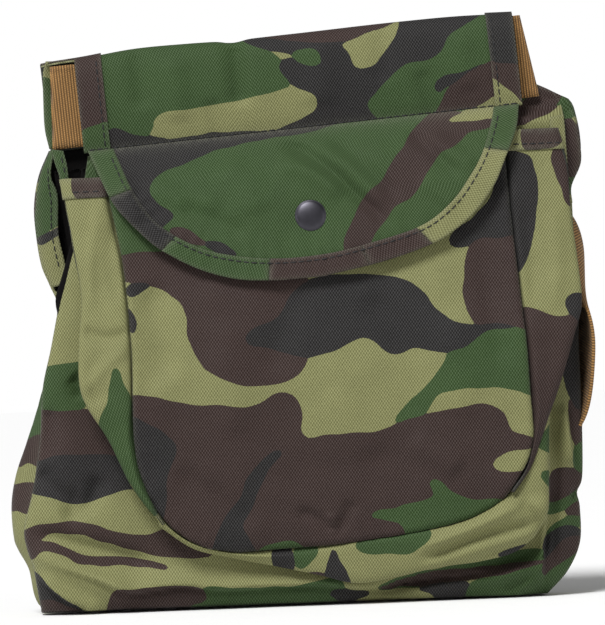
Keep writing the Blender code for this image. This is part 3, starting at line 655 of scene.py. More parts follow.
class Shader:
    """A material with a Principled shader, and short ways to add nodes to it."""

    def __init__(self, name, roughness, specular=0.3, metallic=0.0):
        self.material = bpy.data.materials.new(name)
        self.material.use_nodes = True
        self.tree = self.material.node_tree
        self.surface = self.tree.nodes["Principled BSDF"]
        self.surface.inputs["Roughness"].default_value = roughness
        self.surface.inputs["Specular IOR Level"].default_value = specular
        self.surface.inputs["Metallic"].default_value = metallic

    def put(self, socket, value):
        """Links a value to a socket, or sets it there."""
        if isinstance(value, bpy.types.NodeSocket):
            self.tree.links.new(value, socket)
        elif value is not None:
            socket.default_value = value

    def math(self, operation, a, b=None, c=None, clamp=False):
        """A sum, product or other operation on values."""
        node = self.tree.nodes.new("ShaderNodeMath")
        node.operation = operation
        node.use_clamp = clamp
        for socket, value in zip(node.inputs, (a, b, c)):
            self.put(socket, value)
        return node.outputs[0]

    def mix(self, share, a, b, blend="MIX"):
        """A mix of two colours."""
        node = self.tree.nodes.new("ShaderNodeMix")
        node.data_type = "RGBA"
        node.blend_type = blend
        self.put(node.inputs["Factor"], share)
        self.put(node.inputs[6], (*a, 1.0) if isinstance(a, tuple) else a)
        self.put(node.inputs[7], (*b, 1.0) if isinstance(b, tuple) else b)
        return node.outputs[2]

    def attribute(self, name, output):
        """A value that the mesh carries."""
        node = self.tree.nodes.new("ShaderNodeAttribute")
        node.attribute_name = name
        return node.outputs[output]

    def split(self, vector):
        """The three parts of a vector."""
        node = self.tree.nodes.new("ShaderNodeSeparateXYZ")
        self.put(node.inputs[0], vector)
        return node.outputs

    def noise(self, vector, scale, detail=2.0, roughness=0.5):
        """Smooth noise between 0 and 1."""
        node = self.tree.nodes.new("ShaderNodeTexNoise")
        self.put(node.inputs["Vector"], vector)
        node.inputs["Scale"].default_value = scale
        node.inputs["Detail"].default_value = detail
        node.inputs["Roughness"].default_value = roughness
        return node.outputs["Fac"]

    def place(self):
        """The piece's own coordinates."""
        return self.tree.nodes.new("ShaderNodeTexCoord").outputs["Object"]

    def wave(self, value, pitch, shift=0.0):
        """A cosine of the value with a pitch."""
        return self.math("COSINE", self.math("MULTIPLY_ADD", value, 2 * math.pi / pitch, shift))

    def scaled(self, value, factor, offset):
        """The value times a factor, plus an offset."""
        return self.math("MULTIPLY_ADD", value, factor, offset)

    def tinted(self, colour, tone):
        """A colour multiplied by a grey tone."""
        node = self.tree.nodes.new("ShaderNodeVectorMath")
        node.operation = "SCALE"
        self.put(node.inputs[0], colour)
        self.put(node.inputs["Scale"], tone)
        return node.outputs[0]

    def finish(self, colour, height=None, distance=0.0001, strength=1.0, roughness=None):
        """Sets the colour, a bump and a varied roughness, and gives the material."""
        self.put(self.surface.inputs["Base Color"], colour)
        if height is not None:
            bump = self.tree.nodes.new("ShaderNodeBump")
            bump.inputs["Distance"].default_value = distance
            bump.inputs["Strength"].default_value = strength
            self.put(bump.inputs["Height"], height)
            self.put(self.surface.inputs["Normal"], bump.outputs[0])
        if roughness is not None:
            self.put(self.surface.inputs["Roughness"], roughness)
        return self.material


def oxford(shader):
    """Height of the oxford weave from the cloth's own coordinates, with uneven yarns."""
    lay = shader.attribute("cloth", "Vector")
    across, up, _ = shader.split(lay)
    pillows = shader.math("MULTIPLY", shader.wave(across, WEAVE_ACROSS), shader.wave(up, WEAVE_UP))
    weave = shader.scaled(pillows, 0.5, 0.5)
    yarns = shader.noise(lay, 1.1, 2.0, 0.6)
    return shader.math("ADD", shader.scaled(weave, 0.8, 0.0), shader.scaled(yarns, 0.4, -0.1)), lay


INK_SHARPNESS = 2.2
# Painted highlight: the coating's shine on the raised tufts of the weave, added to the ink's colour
PAINTED_GLINT = 0.074
PAINTED_GLINT_START = 0.025


def camouflage_material():
    """Coated oxford cloth with the four-colour print that each piece carries, with painted light and shade
    on its weave and a painted highlight on the weave's raised tufts.
    """
    shader = Shader("camouflage_cloth", 0.72, 0.16)
    shader.surface.inputs["Sheen Weight"].default_value = 0.03
    shader.surface.inputs["Sheen Roughness"].default_value = 0.5
    weave, lay = oxford(shader)
    fibre = shader.scaled(shader.noise(lay, 0.8, 2.0), 0.9, -0.45)
    top = shader.attribute("ground", "Fac")
    colour = KHAKI
    inks = shader.split(shader.attribute("print", "Vector"))
    for socket, ink in zip(inks, (GREEN, BROWN, BLACK)):
        lead = shader.math("ADD", shader.math("SUBTRACT", socket, top), fibre)
        colour = shader.mix(shader.math("MULTIPLY_ADD", lead, INK_SHARPNESS, 0.5, clamp=True), colour, ink)
        top = shader.math("MAXIMUM", top, socket)
    blotch = shader.scaled(shader.noise(lay, 0.045, 3.0, 0.6), 0.24, 0.88)
    fine = shader.scaled(shader.noise(lay, 2.4, 1.0), 0.4, 0.80)
    # painted light and shade: the weave's raised tufts lighter and its hollows darker, times random mottling
    tone = shader.math("MULTIPLY", shader.scaled(weave, 1.05, 0.46), shader.math("MULTIPLY", blotch, fine))
    worn = shader.math("MULTIPLY", shader.attribute("wear", "Fac"), shader.noise(lay, 0.35, 3.0))
    colour = shader.mix(shader.scaled(worn, 0.5, 0.0), colour, RUBBED)
    rough = shader.scaled(weave, -0.16, 0.76)
    # painted highlight: the coating's shine on the weave's raised tufts, added to the colour
    painted_glint = shader.math("MAXIMUM", shader.scaled(weave, PAINTED_GLINT, -PAINTED_GLINT_START), 0.0)
    colour = shader.mix(1.0, shader.tinted(colour, tone), painted_glint, "ADD")
    return shader.finish(colour, weave, 0.00022, 0.9, rough)


def coated_reverse_material():
    """The inner face of the printed cloth, with its dull waterproof coating."""
    shader = Shader("coated_reverse", 0.6, 0.3)
    weave, lay = oxford(shader)
    blotch = shader.scaled(shader.noise(lay, 0.06, 3.0), 0.4, 0.8)
    tone = shader.math("MULTIPLY", shader.scaled(weave, 0.25, 0.85), blotch)
    return shader.finish(shader.tinted(COATING, tone), weave, 0.0001, 0.6)


def lining_material():
    """Brushed black lining cloth."""
    shader = Shader("lining_cloth", 0.95, 0.1)
    lay = shader.attribute("cloth", "Vector")
    across, up, _ = shader.split(lay)
    nap = shader.noise(lay, 1.6, 4.0, 0.7)
    twill = shader.wave(shader.math("ADD", across, up), TWILL_PITCH)
    height = shader.math("ADD", nap, shader.scaled(twill, 0.15, 0.0))
    tone = shader.scaled(nap, 1.0, 0.5)
    return shader.finish(shader.tinted(LINING_BLACK, tone), height, 0.00025, 0.8)


def webbing_material():
    """Tan webbing: ribs across its length, each a row of short floats, and a dotted edge."""
    shader = Shader("webbing", 0.72, 0.25)
    shader.surface.inputs["Sheen Weight"].default_value = 0.08
    lay = shader.attribute("cloth", "Vector")
    along, across, _ = shader.split(lay)
    rib = shader.scaled(shader.wave(along, RIB_PITCH), 0.5, 0.5)
    floats = shader.math("MULTIPLY", shader.wave(across, RIB_DASH), shader.wave(along, 2 * RIB_PITCH))
    height = shader.math("MULTIPLY", rib, shader.scaled(floats, 0.28, 0.72))
    yarn = shader.noise(lay, 1.7, 2.0)
    height = shader.math("ADD", height, shader.scaled(yarn, 0.2, -0.1))
    edge = shader.attribute("wear", "Fac")
    dots = shader.math("MULTIPLY", edge, shader.scaled(shader.wave(along, RIB_DASH * 1.6), 0.5, 0.5))
    blotch = shader.scaled(shader.noise(lay, 0.07, 3.0), 0.3, 0.85)
    tone = shader.math("MULTIPLY", shader.scaled(height, 1.25, 0.30), blotch)
    colour = shader.mix(shader.scaled(dots, 0.6, 0.0), TAN, SELVEDGE_DOTS)
    return shader.finish(shader.tinted(colour, tone), height, 0.00035, 0.9)


def thread_material():
    """Black polyester sewing thread."""
    shader = Shader("thread_black", 0.55, 0.4)
    twist = shader.noise(shader.place(), 3000.0, 2.0)
    return shader.finish(shader.tinted(THREAD_BLACK, shader.scaled(twist, 1.2, 0.5)), twist, 0.0001, 0.5)


def gunmetal_material():
    """Dark satin snap metal with a faint speckle and uneven rubbed patches."""
    shader = Shader("gunmetal", 0.36, 0.5, 1.0)
    place = shader.place()
    speckle = shader.noise(place, 2500.0, 3.0, 0.6)
    rub = shader.noise(place, 260.0, 4.0, 0.6)
    tone = shader.scaled(rub, 0.5, 0.75)
    rough = shader.math("ADD", shader.scaled(speckle, 0.10, 0.34), shader.scaled(rub, 0.12, -0.04))
    return shader.finish(shader.tinted(GUNMETAL, tone), speckle, 0.00002, 0.4, rough)


def floor_material():
    """A plain pale studio floor."""
    shader = Shader("studio_floor", 0.9, 0.1)
    grain = shader.noise(shader.place(), 60.0, 2.0)
    return shader.finish(shader.tinted(FLOOR_WHITE, shader.scaled(grain, 0.02, 0.99)))


CAMOUFLAGE = camouflage_material()
REVERSE = coated_reverse_material()
LINING = lining_material()
WEBBING = webbing_material()
THREAD = thread_material()
METAL = gunmetal_material()


# ---------------------------------------------------------------- stitching

TREES = {}


def surface_of(item):
    """A tree of an object's faces, for finding the cloth under a stitch."""
    if item.name not in TREES:
        vertices = [vertex.co.copy() for vertex in item.data.vertices]
        faces = [tuple(face.vertices) for face in item.data.polygons]
        TREES[item.name] = BVHTree.FromPolygons(vertices, faces)
    return TREES[item.name]


SIGHT = 0.3  # where the search for cloth starts, metres in front of the middle or behind it


def find_cloth(x, z, targets, behind):
    """The first cloth met at (x, z) millimetres, seen from the front or from behind."""
    start = Vector((x * MM, SIGHT if behind else -SIGHT, z * MM))
    way = Vector((0, -1, 0)) if behind else Vector((0, 1, 0))
    hits = [surface_of(item).ray_cast(start, way) for item in targets]
    hits = [(hit[3], hit[0], hit[1]) for hit in hits if hit[0] is not None]
    if not hits:
        return None
    _, place, normal = min(hits, key=lambda hit: hit[0])
    return place, normal if normal.dot(way) < 0 else -normal


def stitch_template(sides=6):
    """A unit stitch: a rounded bar along x, one long, with radius one."""
    rings = [(-0.47, 0.6), (-0.36, 0.95), (0.0, 1.0), (0.36, 0.95), (0.47, 0.6)]
    vertices = [(-0.5, 0.0, 0.0)]
    for along, radius in rings:
        for step in range(sides):
            angle = 2 * math.pi * step / sides
            vertices.append((along, radius * math.cos(angle), radius * math.sin(angle)))
    vertices.append((0.5, 0.0, 0.0))
    faces = []
    for step in range(sides):
        after = (step + 1) % sides
        faces.append((0, 1 + after, 1 + step))
        for ring in range(len(rings) - 1):
            low, high = 1 + ring * sides, 1 + (ring + 1) * sides
            faces.append((low + step, low + after, high + after, high + step))
        last = 1 + (len(rings) - 1) * sides
        faces.append((last + step, last + after, len(vertices) - 1))
    return np.array(vertices), faces


def bar_between(start, end, normal, radius):
    """Vertices of one stitch that dips into the cloth at both ends."""
    vertices, _ = stitch_template()
    axis = end - start
    length = axis.length
    axis = axis.normalized()
    side = normal.cross(axis).normalized()
    up = axis.cross(side)
    middle = (start + end) / 2
    bow = 1 - (2 * np.abs(vertices[:, 0])) ** 2.5
    out = (vertices[:, 2] + 0.9 * bow - 0.5) * radius
    frame_axes = np.array([axis, side, up])
    local = np.column_stack([vertices[:, 0] * length, vertices[:, 1] * radius, out])
    return local @ frame_axes + np.array(middle)


def join_bars(name, bars, material):
    """One object of many stitches."""
    _, template = stitch_template()
    vertices, faces = [], []
    for bar in bars:
        offset = len(bar) * len(vertices)
        vertices.append(bar)
        faces.extend(tuple(index + offset for index in face) for face in template)
    return new_loose(name, np.concatenate(vertices), faces, material) if bars else None


def new_loose(name, vertices, faces, material):
    """A mesh object whose faces have different numbers of corners."""
    mesh = bpy.data.meshes.new(name)
    mesh.from_pydata([tuple(vertex) for vertex in vertices], [], faces)
    mesh.materials.append(material)
    mesh.shade_smooth()
    item = bpy.data.objects.new(name, mesh)
    bpy.context.scene.collection.objects.link(item)
    return item


def sew(name, lines, targets, body, behind=False):
    """A run of stitches along lines of (x, z), laid on the cloth that is seen there."""
    bars = []
    radius = THREAD_RADIUS * MM
    for points in lines:
        line = even_line(points, 0.5)
        total = line_length(line)
        count = int(total // STITCH_PITCH)
        for index in range(count):
            centre = (index + 0.5) * total / count
            shares = [(centre + side * STITCH_LENGTH / 2) / total for side in (-1, 1)]
            ends = smooth_line(line, shares)
            hits = [find_cloth(x, z, targets, behind) for x, z in ends]
            if None in hits:
                continue
            (start, normal), (end, other) = hits
            if (end - start).length < 2 * STITCH_LENGTH * MM:
                bars.append(bar_between(start, end, (normal + other).normalized(), radius))
    item = join_bars(name, bars, THREAD)
    if item is not None and body is not None:
        place(item, body, "camouflage_cloth")
    return item


def place(item, body, slot, replaced=(), blend=None):
    """Attaches a piece to the body that it rides on, or fixes it where it is when blend is given, and hides
    the CAD nodes that it stands for; the slot, its finish, is not used.
    """
    if blend is None:
        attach(item, body)
    else:
        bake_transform(item)
    if replaced:
        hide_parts(*replaced)
    return item


# ---------------------------------------------------------------- shared shapes

def flat(grid):
    """The grid's (x, z) places as a list."""
    return np.asarray(grid)[..., :2].reshape(-1, 2)


def raised(places, depth):
    """A grid of (x, z, depth) from places and their depths."""
    return np.concatenate([places[..., :2], np.asarray(depth)[..., None]], axis=-1)


def curl(inset, reach, drop):
    """How far cloth rolls back at a distance from its edge."""
    part = np.clip(inset / reach, 0, 1)
    return drop * (1 - np.sqrt(1 - (1 - part) ** 2))


def folded(places, folds):
    """Relief on a grid of places."""
    return relief(flat(places), folds).reshape(places.shape[:2])


def lifted(grid, lift):
    """The grid moved outwards by a number of millimetres."""
    normals = grid_normals(world(grid))
    return grid + np.stack([normals[..., 0], normals[..., 2], -normals[..., 1]], axis=-1) * lift


def untilted(grid):
    """A grid of (u, v, depth) as (x, z, depth)."""
    x, z = tilted(grid[..., 0], grid[..., 1])
    return np.stack([x, z, grid[..., 2]], axis=-1)


def edge_line(left, right, count=80):
    """A boundary from the top of the left side, round the bottom, to the top of the right side."""
    shares = np.linspace(0, 1, count)
    return np.vstack([smooth_line(left, shares), smooth_line(right, shares)[::-1]])


def small_waves(places, seed, size, height):
    """Faint unevenness of hand-sewn cloth."""
    spots = flat(places)
    waves = cloud(spots, seed, size) + 0.45 * cloud(spots, seed + 1, 0.45 * size)
    return height * waves.reshape(places.shape[:2])


def pucker(places, line, height, pitch, reach):
    """Small gathers along a seam, fading away from it."""
    distance, _, share = nearest(flat(places), line)
    along = share * line_length(line)
    ripple = np.sin(2 * np.pi * along / pitch + 1.7 * np.sin(2 * np.pi * along / (3.7 * pitch)))
    return (height * ripple * np.exp(-distance / reach)).reshape(places.shape[:2])


# ---------------------------------------------------------------- padding by cloth simulation

SIM_STEP = 5
SIM_FRAMES = 20
SIM_PRESSURE = 4.0
SIM_GROWTH = -0.02
SIM_BENDING = 2.0
TYPICAL_LARGEST = 97  # the percentile that stands for the largest move
OVERSHOOT = 1.2
SWELL_OUT = 1.8
SWELL_IN = 0.9


def swell(item, rows, columns):
    """Lets a padded piece swell between its sewn edges as pressed cloth, and adds what it moved."""
    count = rows * columns
    places = np.empty(count * 6)
    item.data.vertices.foreach_get("co", places)
    places = places.reshape(2, rows, columns, 3)
    picks = [np.unique(np.append(np.arange(0, size, SIM_STEP), size - 1)) for size in (rows, columns)]
    coarse = places[:, picks[0]][:, :, picks[1]]
    moved = pressed(coarse)
    gap = np.linalg.norm(places[0] - places[1], axis=-1, keepdims=True) / MM
    soft = np.clip((gap - THIN_CLOTH) / PADDING_RISE, 0, 1)
    for side, limit in ((0, SWELL_OUT), (1, SWELL_IN)):
        most = np.percentile(np.linalg.norm(moved[side], axis=-1), TYPICAL_LARGEST)
        moved[side] *= min(1.0, limit * MM / max(most, 1e-9))
        reach = np.linalg.norm(moved[side], axis=-1, keepdims=True)
        moved[side] *= np.minimum(1, OVERSHOOT * limit * MM / np.maximum(reach, 1e-9))
        places[side] += finer(moved[side], picks, rows, columns) * soft
    item.data.vertices.foreach_set("co", places.ravel())
    item.data.update()


def pressed(coarse):
    """How far each point of a closed double grid moves as pressed cloth, sewn along its rim."""
    high, wide = coarse.shape[1:3]
    faces = np.concatenate([quads(high, wide, 0, False), quads(high, wide, high * wide, True),
                            rim_quads(high, wide)])
    cage = new_object("swelling_cage", coarse.reshape(-1, 3), faces, [])
    index = np.arange(2 * high * wide).reshape(2, high, wide)
    inner = index[:, 1:-1, 1:-1].ravel()
    pins = np.setdiff1d(index.ravel(), inner)
    cage.vertex_groups.new(name="sewn").add(pins.tolist(), 1.0, "REPLACE")
    fabric = cage.modifiers.new("cloth", "CLOTH")
    fabric.settings.vertex_group_mass = "sewn"
    fabric.settings.use_pressure = True
    fabric.settings.uniform_pressure_force = SIM_PRESSURE
    fabric.settings.shrink_min = SIM_GROWTH
    fabric.settings.bending_stiffness = SIM_BENDING
    fabric.settings.effector_weights.gravity = 0
    fabric.collision_settings.use_collision = False
    scene = bpy.context.scene
    for step in range(1, SIM_FRAMES + 1):
        scene.frame_set(step)
    result = cage.evaluated_get(bpy.context.evaluated_depsgraph_get()).to_mesh()
    moved = np.empty(len(result.vertices) * 3)
    result.vertices.foreach_get("co", moved)
    moved = moved.reshape(coarse.shape) - coarse
    bpy.data.objects.remove(cage)
    scene.frame_set(1)
    return moved


def read_line(values, picks, count):
    """A line of 3-D moves, known at the picks, read at every step."""
    return np.stack([np.interp(np.arange(count), picks, axis) for axis in values.T], -1)


def finer(coarse, picks, rows, columns):
    """A coarse grid of moves read at every row and column."""
    tall = np.stack([read_line(coarse[:, column], picks[0], rows) for column in range(coarse.shape[1])], 1)
    return np.stack([read_line(row, picks[1], columns) for row in tall])


# ---------------------------------------------------------------- hand tube

FRONT_LEFT = [
    (-97.3, 218), (-99.5, 206), (-104, 180), (-109.4, 161.6), (-113.2, 148.4), (-118.1, 126.8),
    (-122.7, 107.9), (-125.3, 83.4), (-129.5, 59.9), (-134.3, 42.1), (-133.3, 31.7), (-130.8, 24),
    (-129.5, 15), (-127.9, 3.1),
]
FRONT_RIGHT = [
    (119, 243.2), (123.8, 241), (127.9, 238.4), (130.2, 232), (130.8, 216.3), (130.9, 204.4), (129.6, 194.9),
    (131.5, 183), (133, 160), (133.5, 138), (133, 120), (133, 100), (132.8, 72.6), (132.2, 55.6),
    (129.7, 48.7), (130.6, 42), (130.1, 25.3), (123.9, 12), (114, 1.2),
]
BODY_FOLDS = [
    (-3.0, 4.2, [(20, 7), (40, 7), (60, 11.5), (84, 14.5), (104, 21.5), (112, 30), (115, 44)]),
    (1.2, 3.0, [(44, 3), (66, 7), (88, 9.5), (108, 15)]),
    (-1.6, 2.6, [(121, 94), (119.6, 60), (117.6, 34), (116, 8)]),
    (-2.3, 5.0, [(-126, 72), (-123, 65), (-115, 57), (-105, 53)]),
    (2.0, 5.0, [(-135, 30), (-118, 24), (-92, 12), (-80, 10)]),
    (2.6, 5.0, [(-131, 21), (-124, 14), (-115, 7), (-102, 1), (-94, -1)], "lip"),
    (-2.2, 4.5, [(-134, 41), (-117, 36), (-94, 29), (-70, 22)]),
    (-1.7, 4.0, [(-109, 114), (-105, 109), (-104, 102)]),
    (-1.7, 4.0, [(-121, 100), (-120, 88), (-124, 74)]),
    (-2.0, 4.5, [(-97, 68), (-102, 54), (-117, 45)]),
    (-1.4, 2.6, [(33, 7), (63, 14), (91, 18), (113, 21)]),
    (1.3, 3.0, [(41, 5), (62, 8), (91, 12), (113, 15)]),
    (-1.0, 2.5, [(91, 4), (100, 8), (110, 11)]),
    (3.2, 7.0, [(-129.8, 26.1), (-113.6, 21.1), (-97.4, 15), (-83.5, 9.5), (-61.1, 11.9), (-40, 9), (0, 9.5),
                (31, 6.3), (53, 10), (110, 15)], "lip"),
    (4.2, 6.0, [(112.4, 4), (112.4, 23.5), (115.9, 50), (116.8, 83.2), (118, 96)], "lip"),
    (2.3, 6.0, [(128.9, 59.4), (124.9, 92.9)], "lip"),
    (-2.3, 3.5, [(126, 49), (130, 48), (135, 46)]),
]
BEHIND_BELT = 13.3  # depth of the wall's top right corner, behind the webbing
BEHIND_POUCH = (-80, 97, 70)  # the left, right and low edges of what the pouch hides
WALL_TOP = 1.2  # how far the wall stands above the stitch line
SIDE_DROP = 9.5
SIDE_REACH = 15.0
FOOT_DEPTH = 15.0
FOOT_HEIGHT = 0.7


def front_wall_surface(rows=150, columns=170):
    """Outer face of the hand tube's front wall, with its sides rolled back and its bottom turned under."""
    places = chords(FRONT_LEFT, FRONT_RIGHT, rows, columns)
    seam = tilted(places[..., 0], WALL_TOP)[1] + 20 * ease((places[..., 0] - 104) / 8)
    places[..., 1] = np.minimum(places[..., 1], seam)
    x, z = places[..., 0], places[..., 1]
    left_closed, right_closed = ease((112 - z) / 26), ease((78 - z) / 26)
    depth = profile(WALL, z) + folded(places, BODY_FOLDS) + small_waves(places, 31, 55, 0.5)
    depth -= curl(x - x[:, :1], 10 + 8 * left_closed, 3 + 6.5 * left_closed)
    inset = x[:, -1:] - x
    slope = SIDE_DROP * np.clip(1 - inset / SIDE_REACH, 0, 1)
    depth -= curl(inset, 10, 3) * (1 - right_closed) + slope * right_closed
    depth += (BEHIND_BELT - depth) * ease((x - 98) / 5) * ease((z - 226) / 10)
    wall = raised(places, depth)
    foot = []
    for turn in np.linspace(0, math.pi / 2, 9)[1:]:
        row = wall[-1].copy()
        row[:, 1] = FOOT_HEIGHT + (row[:, 1] - FOOT_HEIGHT) * (1 - math.sin(turn))
        row[:, 2] = FOOT_DEPTH + (row[:, 2] - FOOT_DEPTH) * math.cos(turn)
        foot.append(row)
    return np.concatenate([wall, np.array(foot)])


def padding(shape, edge, middle, reach=14):
    """Thickness of a padded wall: thin at its sewn edges and full a few cells in."""
    rows, columns = shape
    row = np.minimum(np.arange(rows), np.arange(rows)[::-1])[:, None]
    column = np.minimum(np.arange(columns), np.arange(columns)[::-1])[None, :]
    return edge + (middle - edge) * ease(np.minimum(row, column) / reach)


def hand_tube_front():
    """Padded front wall of the hand tube, with its bottom fold and sides."""
    grid = front_wall_surface()
    places = flat(grid)
    x, z = places.T
    left, right, low = BEHIND_POUCH
    hidden = ease((x - left) / 6) * ease((right - x) / 6) * ease((z - low) / 10)
    fields = merged(printed(places, BODY_PRINT), woodland(places, 17), hidden)
    thickness = padding(grid.shape[:2], 1.2, 5.6, 18)
    wear = edge_wear(*grid.shape[:2])
    item = cloth("hand_tube_front", grid, thickness, fields, (CAMOUFLAGE, LINING), wear, planar=26)
    swell(item, *grid.shape[:2])
    replaced = ("front_wall", "front_wadding", "bottom_panel", "left_side_panel", "right_side_panel")
    return place(item, "muff", "camouflage_cloth", replaced)


LEFT_OUTLINE = [
    (-115.8, 221.6, 12), (-121.4, 209.6, 9), (-124.2, 195.4, 7), (-123.8, 181.2, 6), (-121.8, 167, 7),
    (-118, 157, 9), (-114.6, 148, 11), (-116, 138, 13), (-119, 123.9, 13), (-122.8, 109.8, 14),
    (-127.4, 95.7, 14), (-132.5, 81.7, 15), (-137.3, 67.6, 16), (-139.9, 53.4, 16), (-139.7, 38, 16),
    (-138, 31.6, 15), (-133.6, 22, 14), (-131.3, 9, 13), (-127.9, 3.1, 12), (-120, 1.2, 12),
]
LEFT_SIDE = [
    (-114.8, 221.4, 13.4), (-120.3, 209.6, 10.6), (-123.1, 195.4, 8.6), (-122.7, 181.2, 7.6),
    (-120.8, 167, 8.6), (-117, 157, 10.6), (-113.9, 148, 12.6), (-116.4, 128, 16), (-119.6, 108, 25),
    (-122.2, 86, 28.5), (-126.6, 60, 29.5), (-131, 42, 29.5), (-130.4, 31, 29.5), (-127.6, 22, 29),
    (-126.5, 13, 27), (-124, 3, 21),
]
RIGHT_OUTLINE = [
    (119.2, 243.4, 10), (126.1, 239.7, 9), (133.6, 234.7, 8), (136.1, 227, 8), (137.6, 217, 8),
    (137.9, 206, 8), (132.9, 194.8, 9), (133.1, 186.7, 9), (133.5, 150, 10), (133.5, 110, 11),
    (134, 85.9, 13), (132.8, 72.6, 15), (132.2, 55.6, 16), (129.7, 48.7, 16), (130.6, 42, 16),
    (130.1, 25.3, 15), (123.9, 13, 13), (115, 1.4, 12),
]
RIGHT_SIDE = [
    (118.4, 242.6, 11.4), (125.3, 238.8, 10.6), (132.4, 234, 9.6), (134.9, 227, 9.6), (136.4, 217, 9.6),
    (136.7, 206, 9.6), (131.8, 194.8, 10.6), (132, 186.7, 10.6), (132.4, 150, 11.6), (132.4, 110, 13),
    (131.6, 84, 22), (130.2, 70, 27), (129.6, 55.6, 25.2), (127, 48.7, 23.2), (128.2, 42, 25),
    (127.6, 25.3, 25), (121, 13, 24), (111.6, 2.4, 20),
]


def corner(outline, shift):
    """A rail beside an outline's, on the back."""
    return [(x + shift, z, float(profile(BACK, z)) + 0.8) for x, z, _ in outline]


def back_rail(x):
    """A rail straight down the back."""
    top = 232.3 + 0.0945 * x
    return [(x, z, float(profile(BACK, z))) for z in np.linspace(top, 0.9, 14)]


def turn_in(item, rows, columns, reach=16):
    """Shows the printed cloth on the inner face beside the right opening, where it is turned in."""
    index = np.zeros(len(item.data.polygons), dtype=np.int32)
    item.data.polygons.foreach_get("material_index", index)
    inner = index[(rows - 1) * (columns - 1):][:(rows - 1) * (columns - 1)].reshape(rows - 1, columns - 1)
    inner[:, :reach] = 0
    item.data.polygons.foreach_set("material_index", index)


def hand_tube_back():
    """Padded back wall of the hand tube, whose sides come forward round the openings and the seams."""
    rails = [RIGHT_SIDE, RIGHT_OUTLINE, corner(RIGHT_OUTLINE, -9)]
    rails += [back_rail(x) for x in (60, 0, -60)]
    rails += [corner(LEFT_OUTLINE, 9), LEFT_OUTLINE, LEFT_SIDE]
    grid = loft(rails, 130, 130)
    places = flat(grid)
    share = ease((6 - grid[..., 2].ravel() + profile(BACK, places[:, 1])) / 4)
    share = share * (1 - ease((places[:, 0] - 117) / 5))
    fields = merged(printed(places, BACK_EDGE_PRINT), woodland(places, 11), share)
    above_seam = grid[..., 1] - tilted(grid[..., 0], 0)[1]
    thickness = np.minimum(padding(grid.shape[:2], 1.2, 5.6), 0.8 + 4.8 * ease((2 - above_seam) / 8))
    wear = edge_wear(*grid.shape[:2])
    item = cloth("hand_tube_back", grid, thickness, fields, (CAMOUFLAGE, LINING), wear)
    turn_in(item, *grid.shape[:2])
    swell(item, *grid.shape[:2])
    return place(item, "muff", "camouflage_cloth", ("back_panel", "back_wadding"))


LINING_LEFT = [
    (-112.5, 221.5), (-114, 213), (-112, 195), (-109, 175), (-107, 150), (-110, 127), (-112, 107),
    (-113, 80), (-116, 50), (-112, 20), (-108, 8),
]
LINING_RIGHT = [
    (117.5, 241.5), (127, 236), (128.5, 216), (127.5, 196), (129.5, 170), (129.5, 120), (122, 70),
    (118, 40), (106, 8),
]
FRONT_LINING_TOP_LEFT = [(-99.5, 216.5), (-101.5, 206), (-106, 180), (-111.5, 161), (-115, 148)]
LINING_THICKNESS = 0.6
LINING_TOP = -8  # how far the linings stop below the stitch line
BACK_LINING_DEPTH = 7.8
FRONT_LINING_DEPTH = 7.9


def linings():
    """The two brushed sheets inside the hand tube."""
    for name, node, left, profile_of, shift, size in (
        ("lining_of_back", "back_lining", LINING_LEFT, BACK, BACK_LINING_DEPTH, (0.245, 0.232)),
        ("lining_of_front", "front_lining", FRONT_LINING_TOP_LEFT + LINING_LEFT[5:], WALL,
         -FRONT_LINING_DEPTH, (0.24, 0.228)),
    ):
        places = chords(left, LINING_RIGHT, 90, 100)
        places[..., 1] = np.minimum(places[..., 1], tilted(places[..., 0], LINING_TOP)[1])
        rim = np.minimum(places[..., 0] - places[:, :1, 0], places[:, -1:, 0] - places[..., 0])
        closed = ease((118 - places[..., 1]) / 14)
        inward = 1 if node == "back_lining" else 0.3 + 0.7 * np.maximum(ease(rim / 20), closed)
        depth = profile(profile_of, places[..., 1]) + shift * inward
        depth += small_waves(places, 41, 30, 0.25)
        item = cloth(name, raised(places, depth), LINING_THICKNESS, None, (LINING, LINING))
        place(item, "muff", "lining_cloth", (node,))


OPENING_HEMS = {
    "left_opening_back_hem": (
        [(-115.6, 221.6, 14.6), (-121, 209.6, 12.2), (-123.7, 195.4, 10.6), (-123.3, 181.2, 9.6),
         (-121.4, 167, 10.4), (-117, 156, 12)],
        [(-113.8, 221.2, 19), (-115.8, 209.4, 17), (-112.8, 199.9, 16), (-113.2, 182, 14.6),
         (-110.8, 168.7, 13.6), (-109.4, 158, 14)]),
    "left_opening_front_hem": (
        [(-114.9, 222.1, 20), (-113.2, 215, 20.4), (-111.4, 209.2, 21), (-110.6, 202, 21.6)],
        [(-108.9, 221, 21), (-107.6, 215, 22), (-107, 209, 22.6), (-106.8, 202, 23)]),
    "right_opening_back_hem": (
        [(131.5, 236, 12.4), (134.5, 231.5, 12.6), (136.4, 227.2, 13.4), (137.9, 217, 15),
         (138.2, 206, 15.2),
         (133.3, 194.8, 15.4), (133.4, 186.7, 15.4)],
        [(129, 231.5, 12.6), (129.6, 229, 13.4), (129.4, 225, 15), (128.2, 217, 17.6), (127.2, 205, 17.8),
         (125.4, 196, 17), (125.4, 186, 16.8)]),
    "right_opening_front_hem": (
        [(130.6, 229, 19.6), (130.9, 223, 21), (131, 216.3, 23), (131.2, 204.4, 24.6), (129.9, 195.4, 26.5)],
        [(124, 228, 21.6), (123.6, 223, 23.4), (123.4, 216, 25), (123.8, 205, 26.2), (122.6, 196, 28)]),
}
HEM_THICKNESS = 0.8
# Hems that carry on the front wall's print and whose stitches do not show.
WALL_HEMS = ("right_opening_front_hem",)


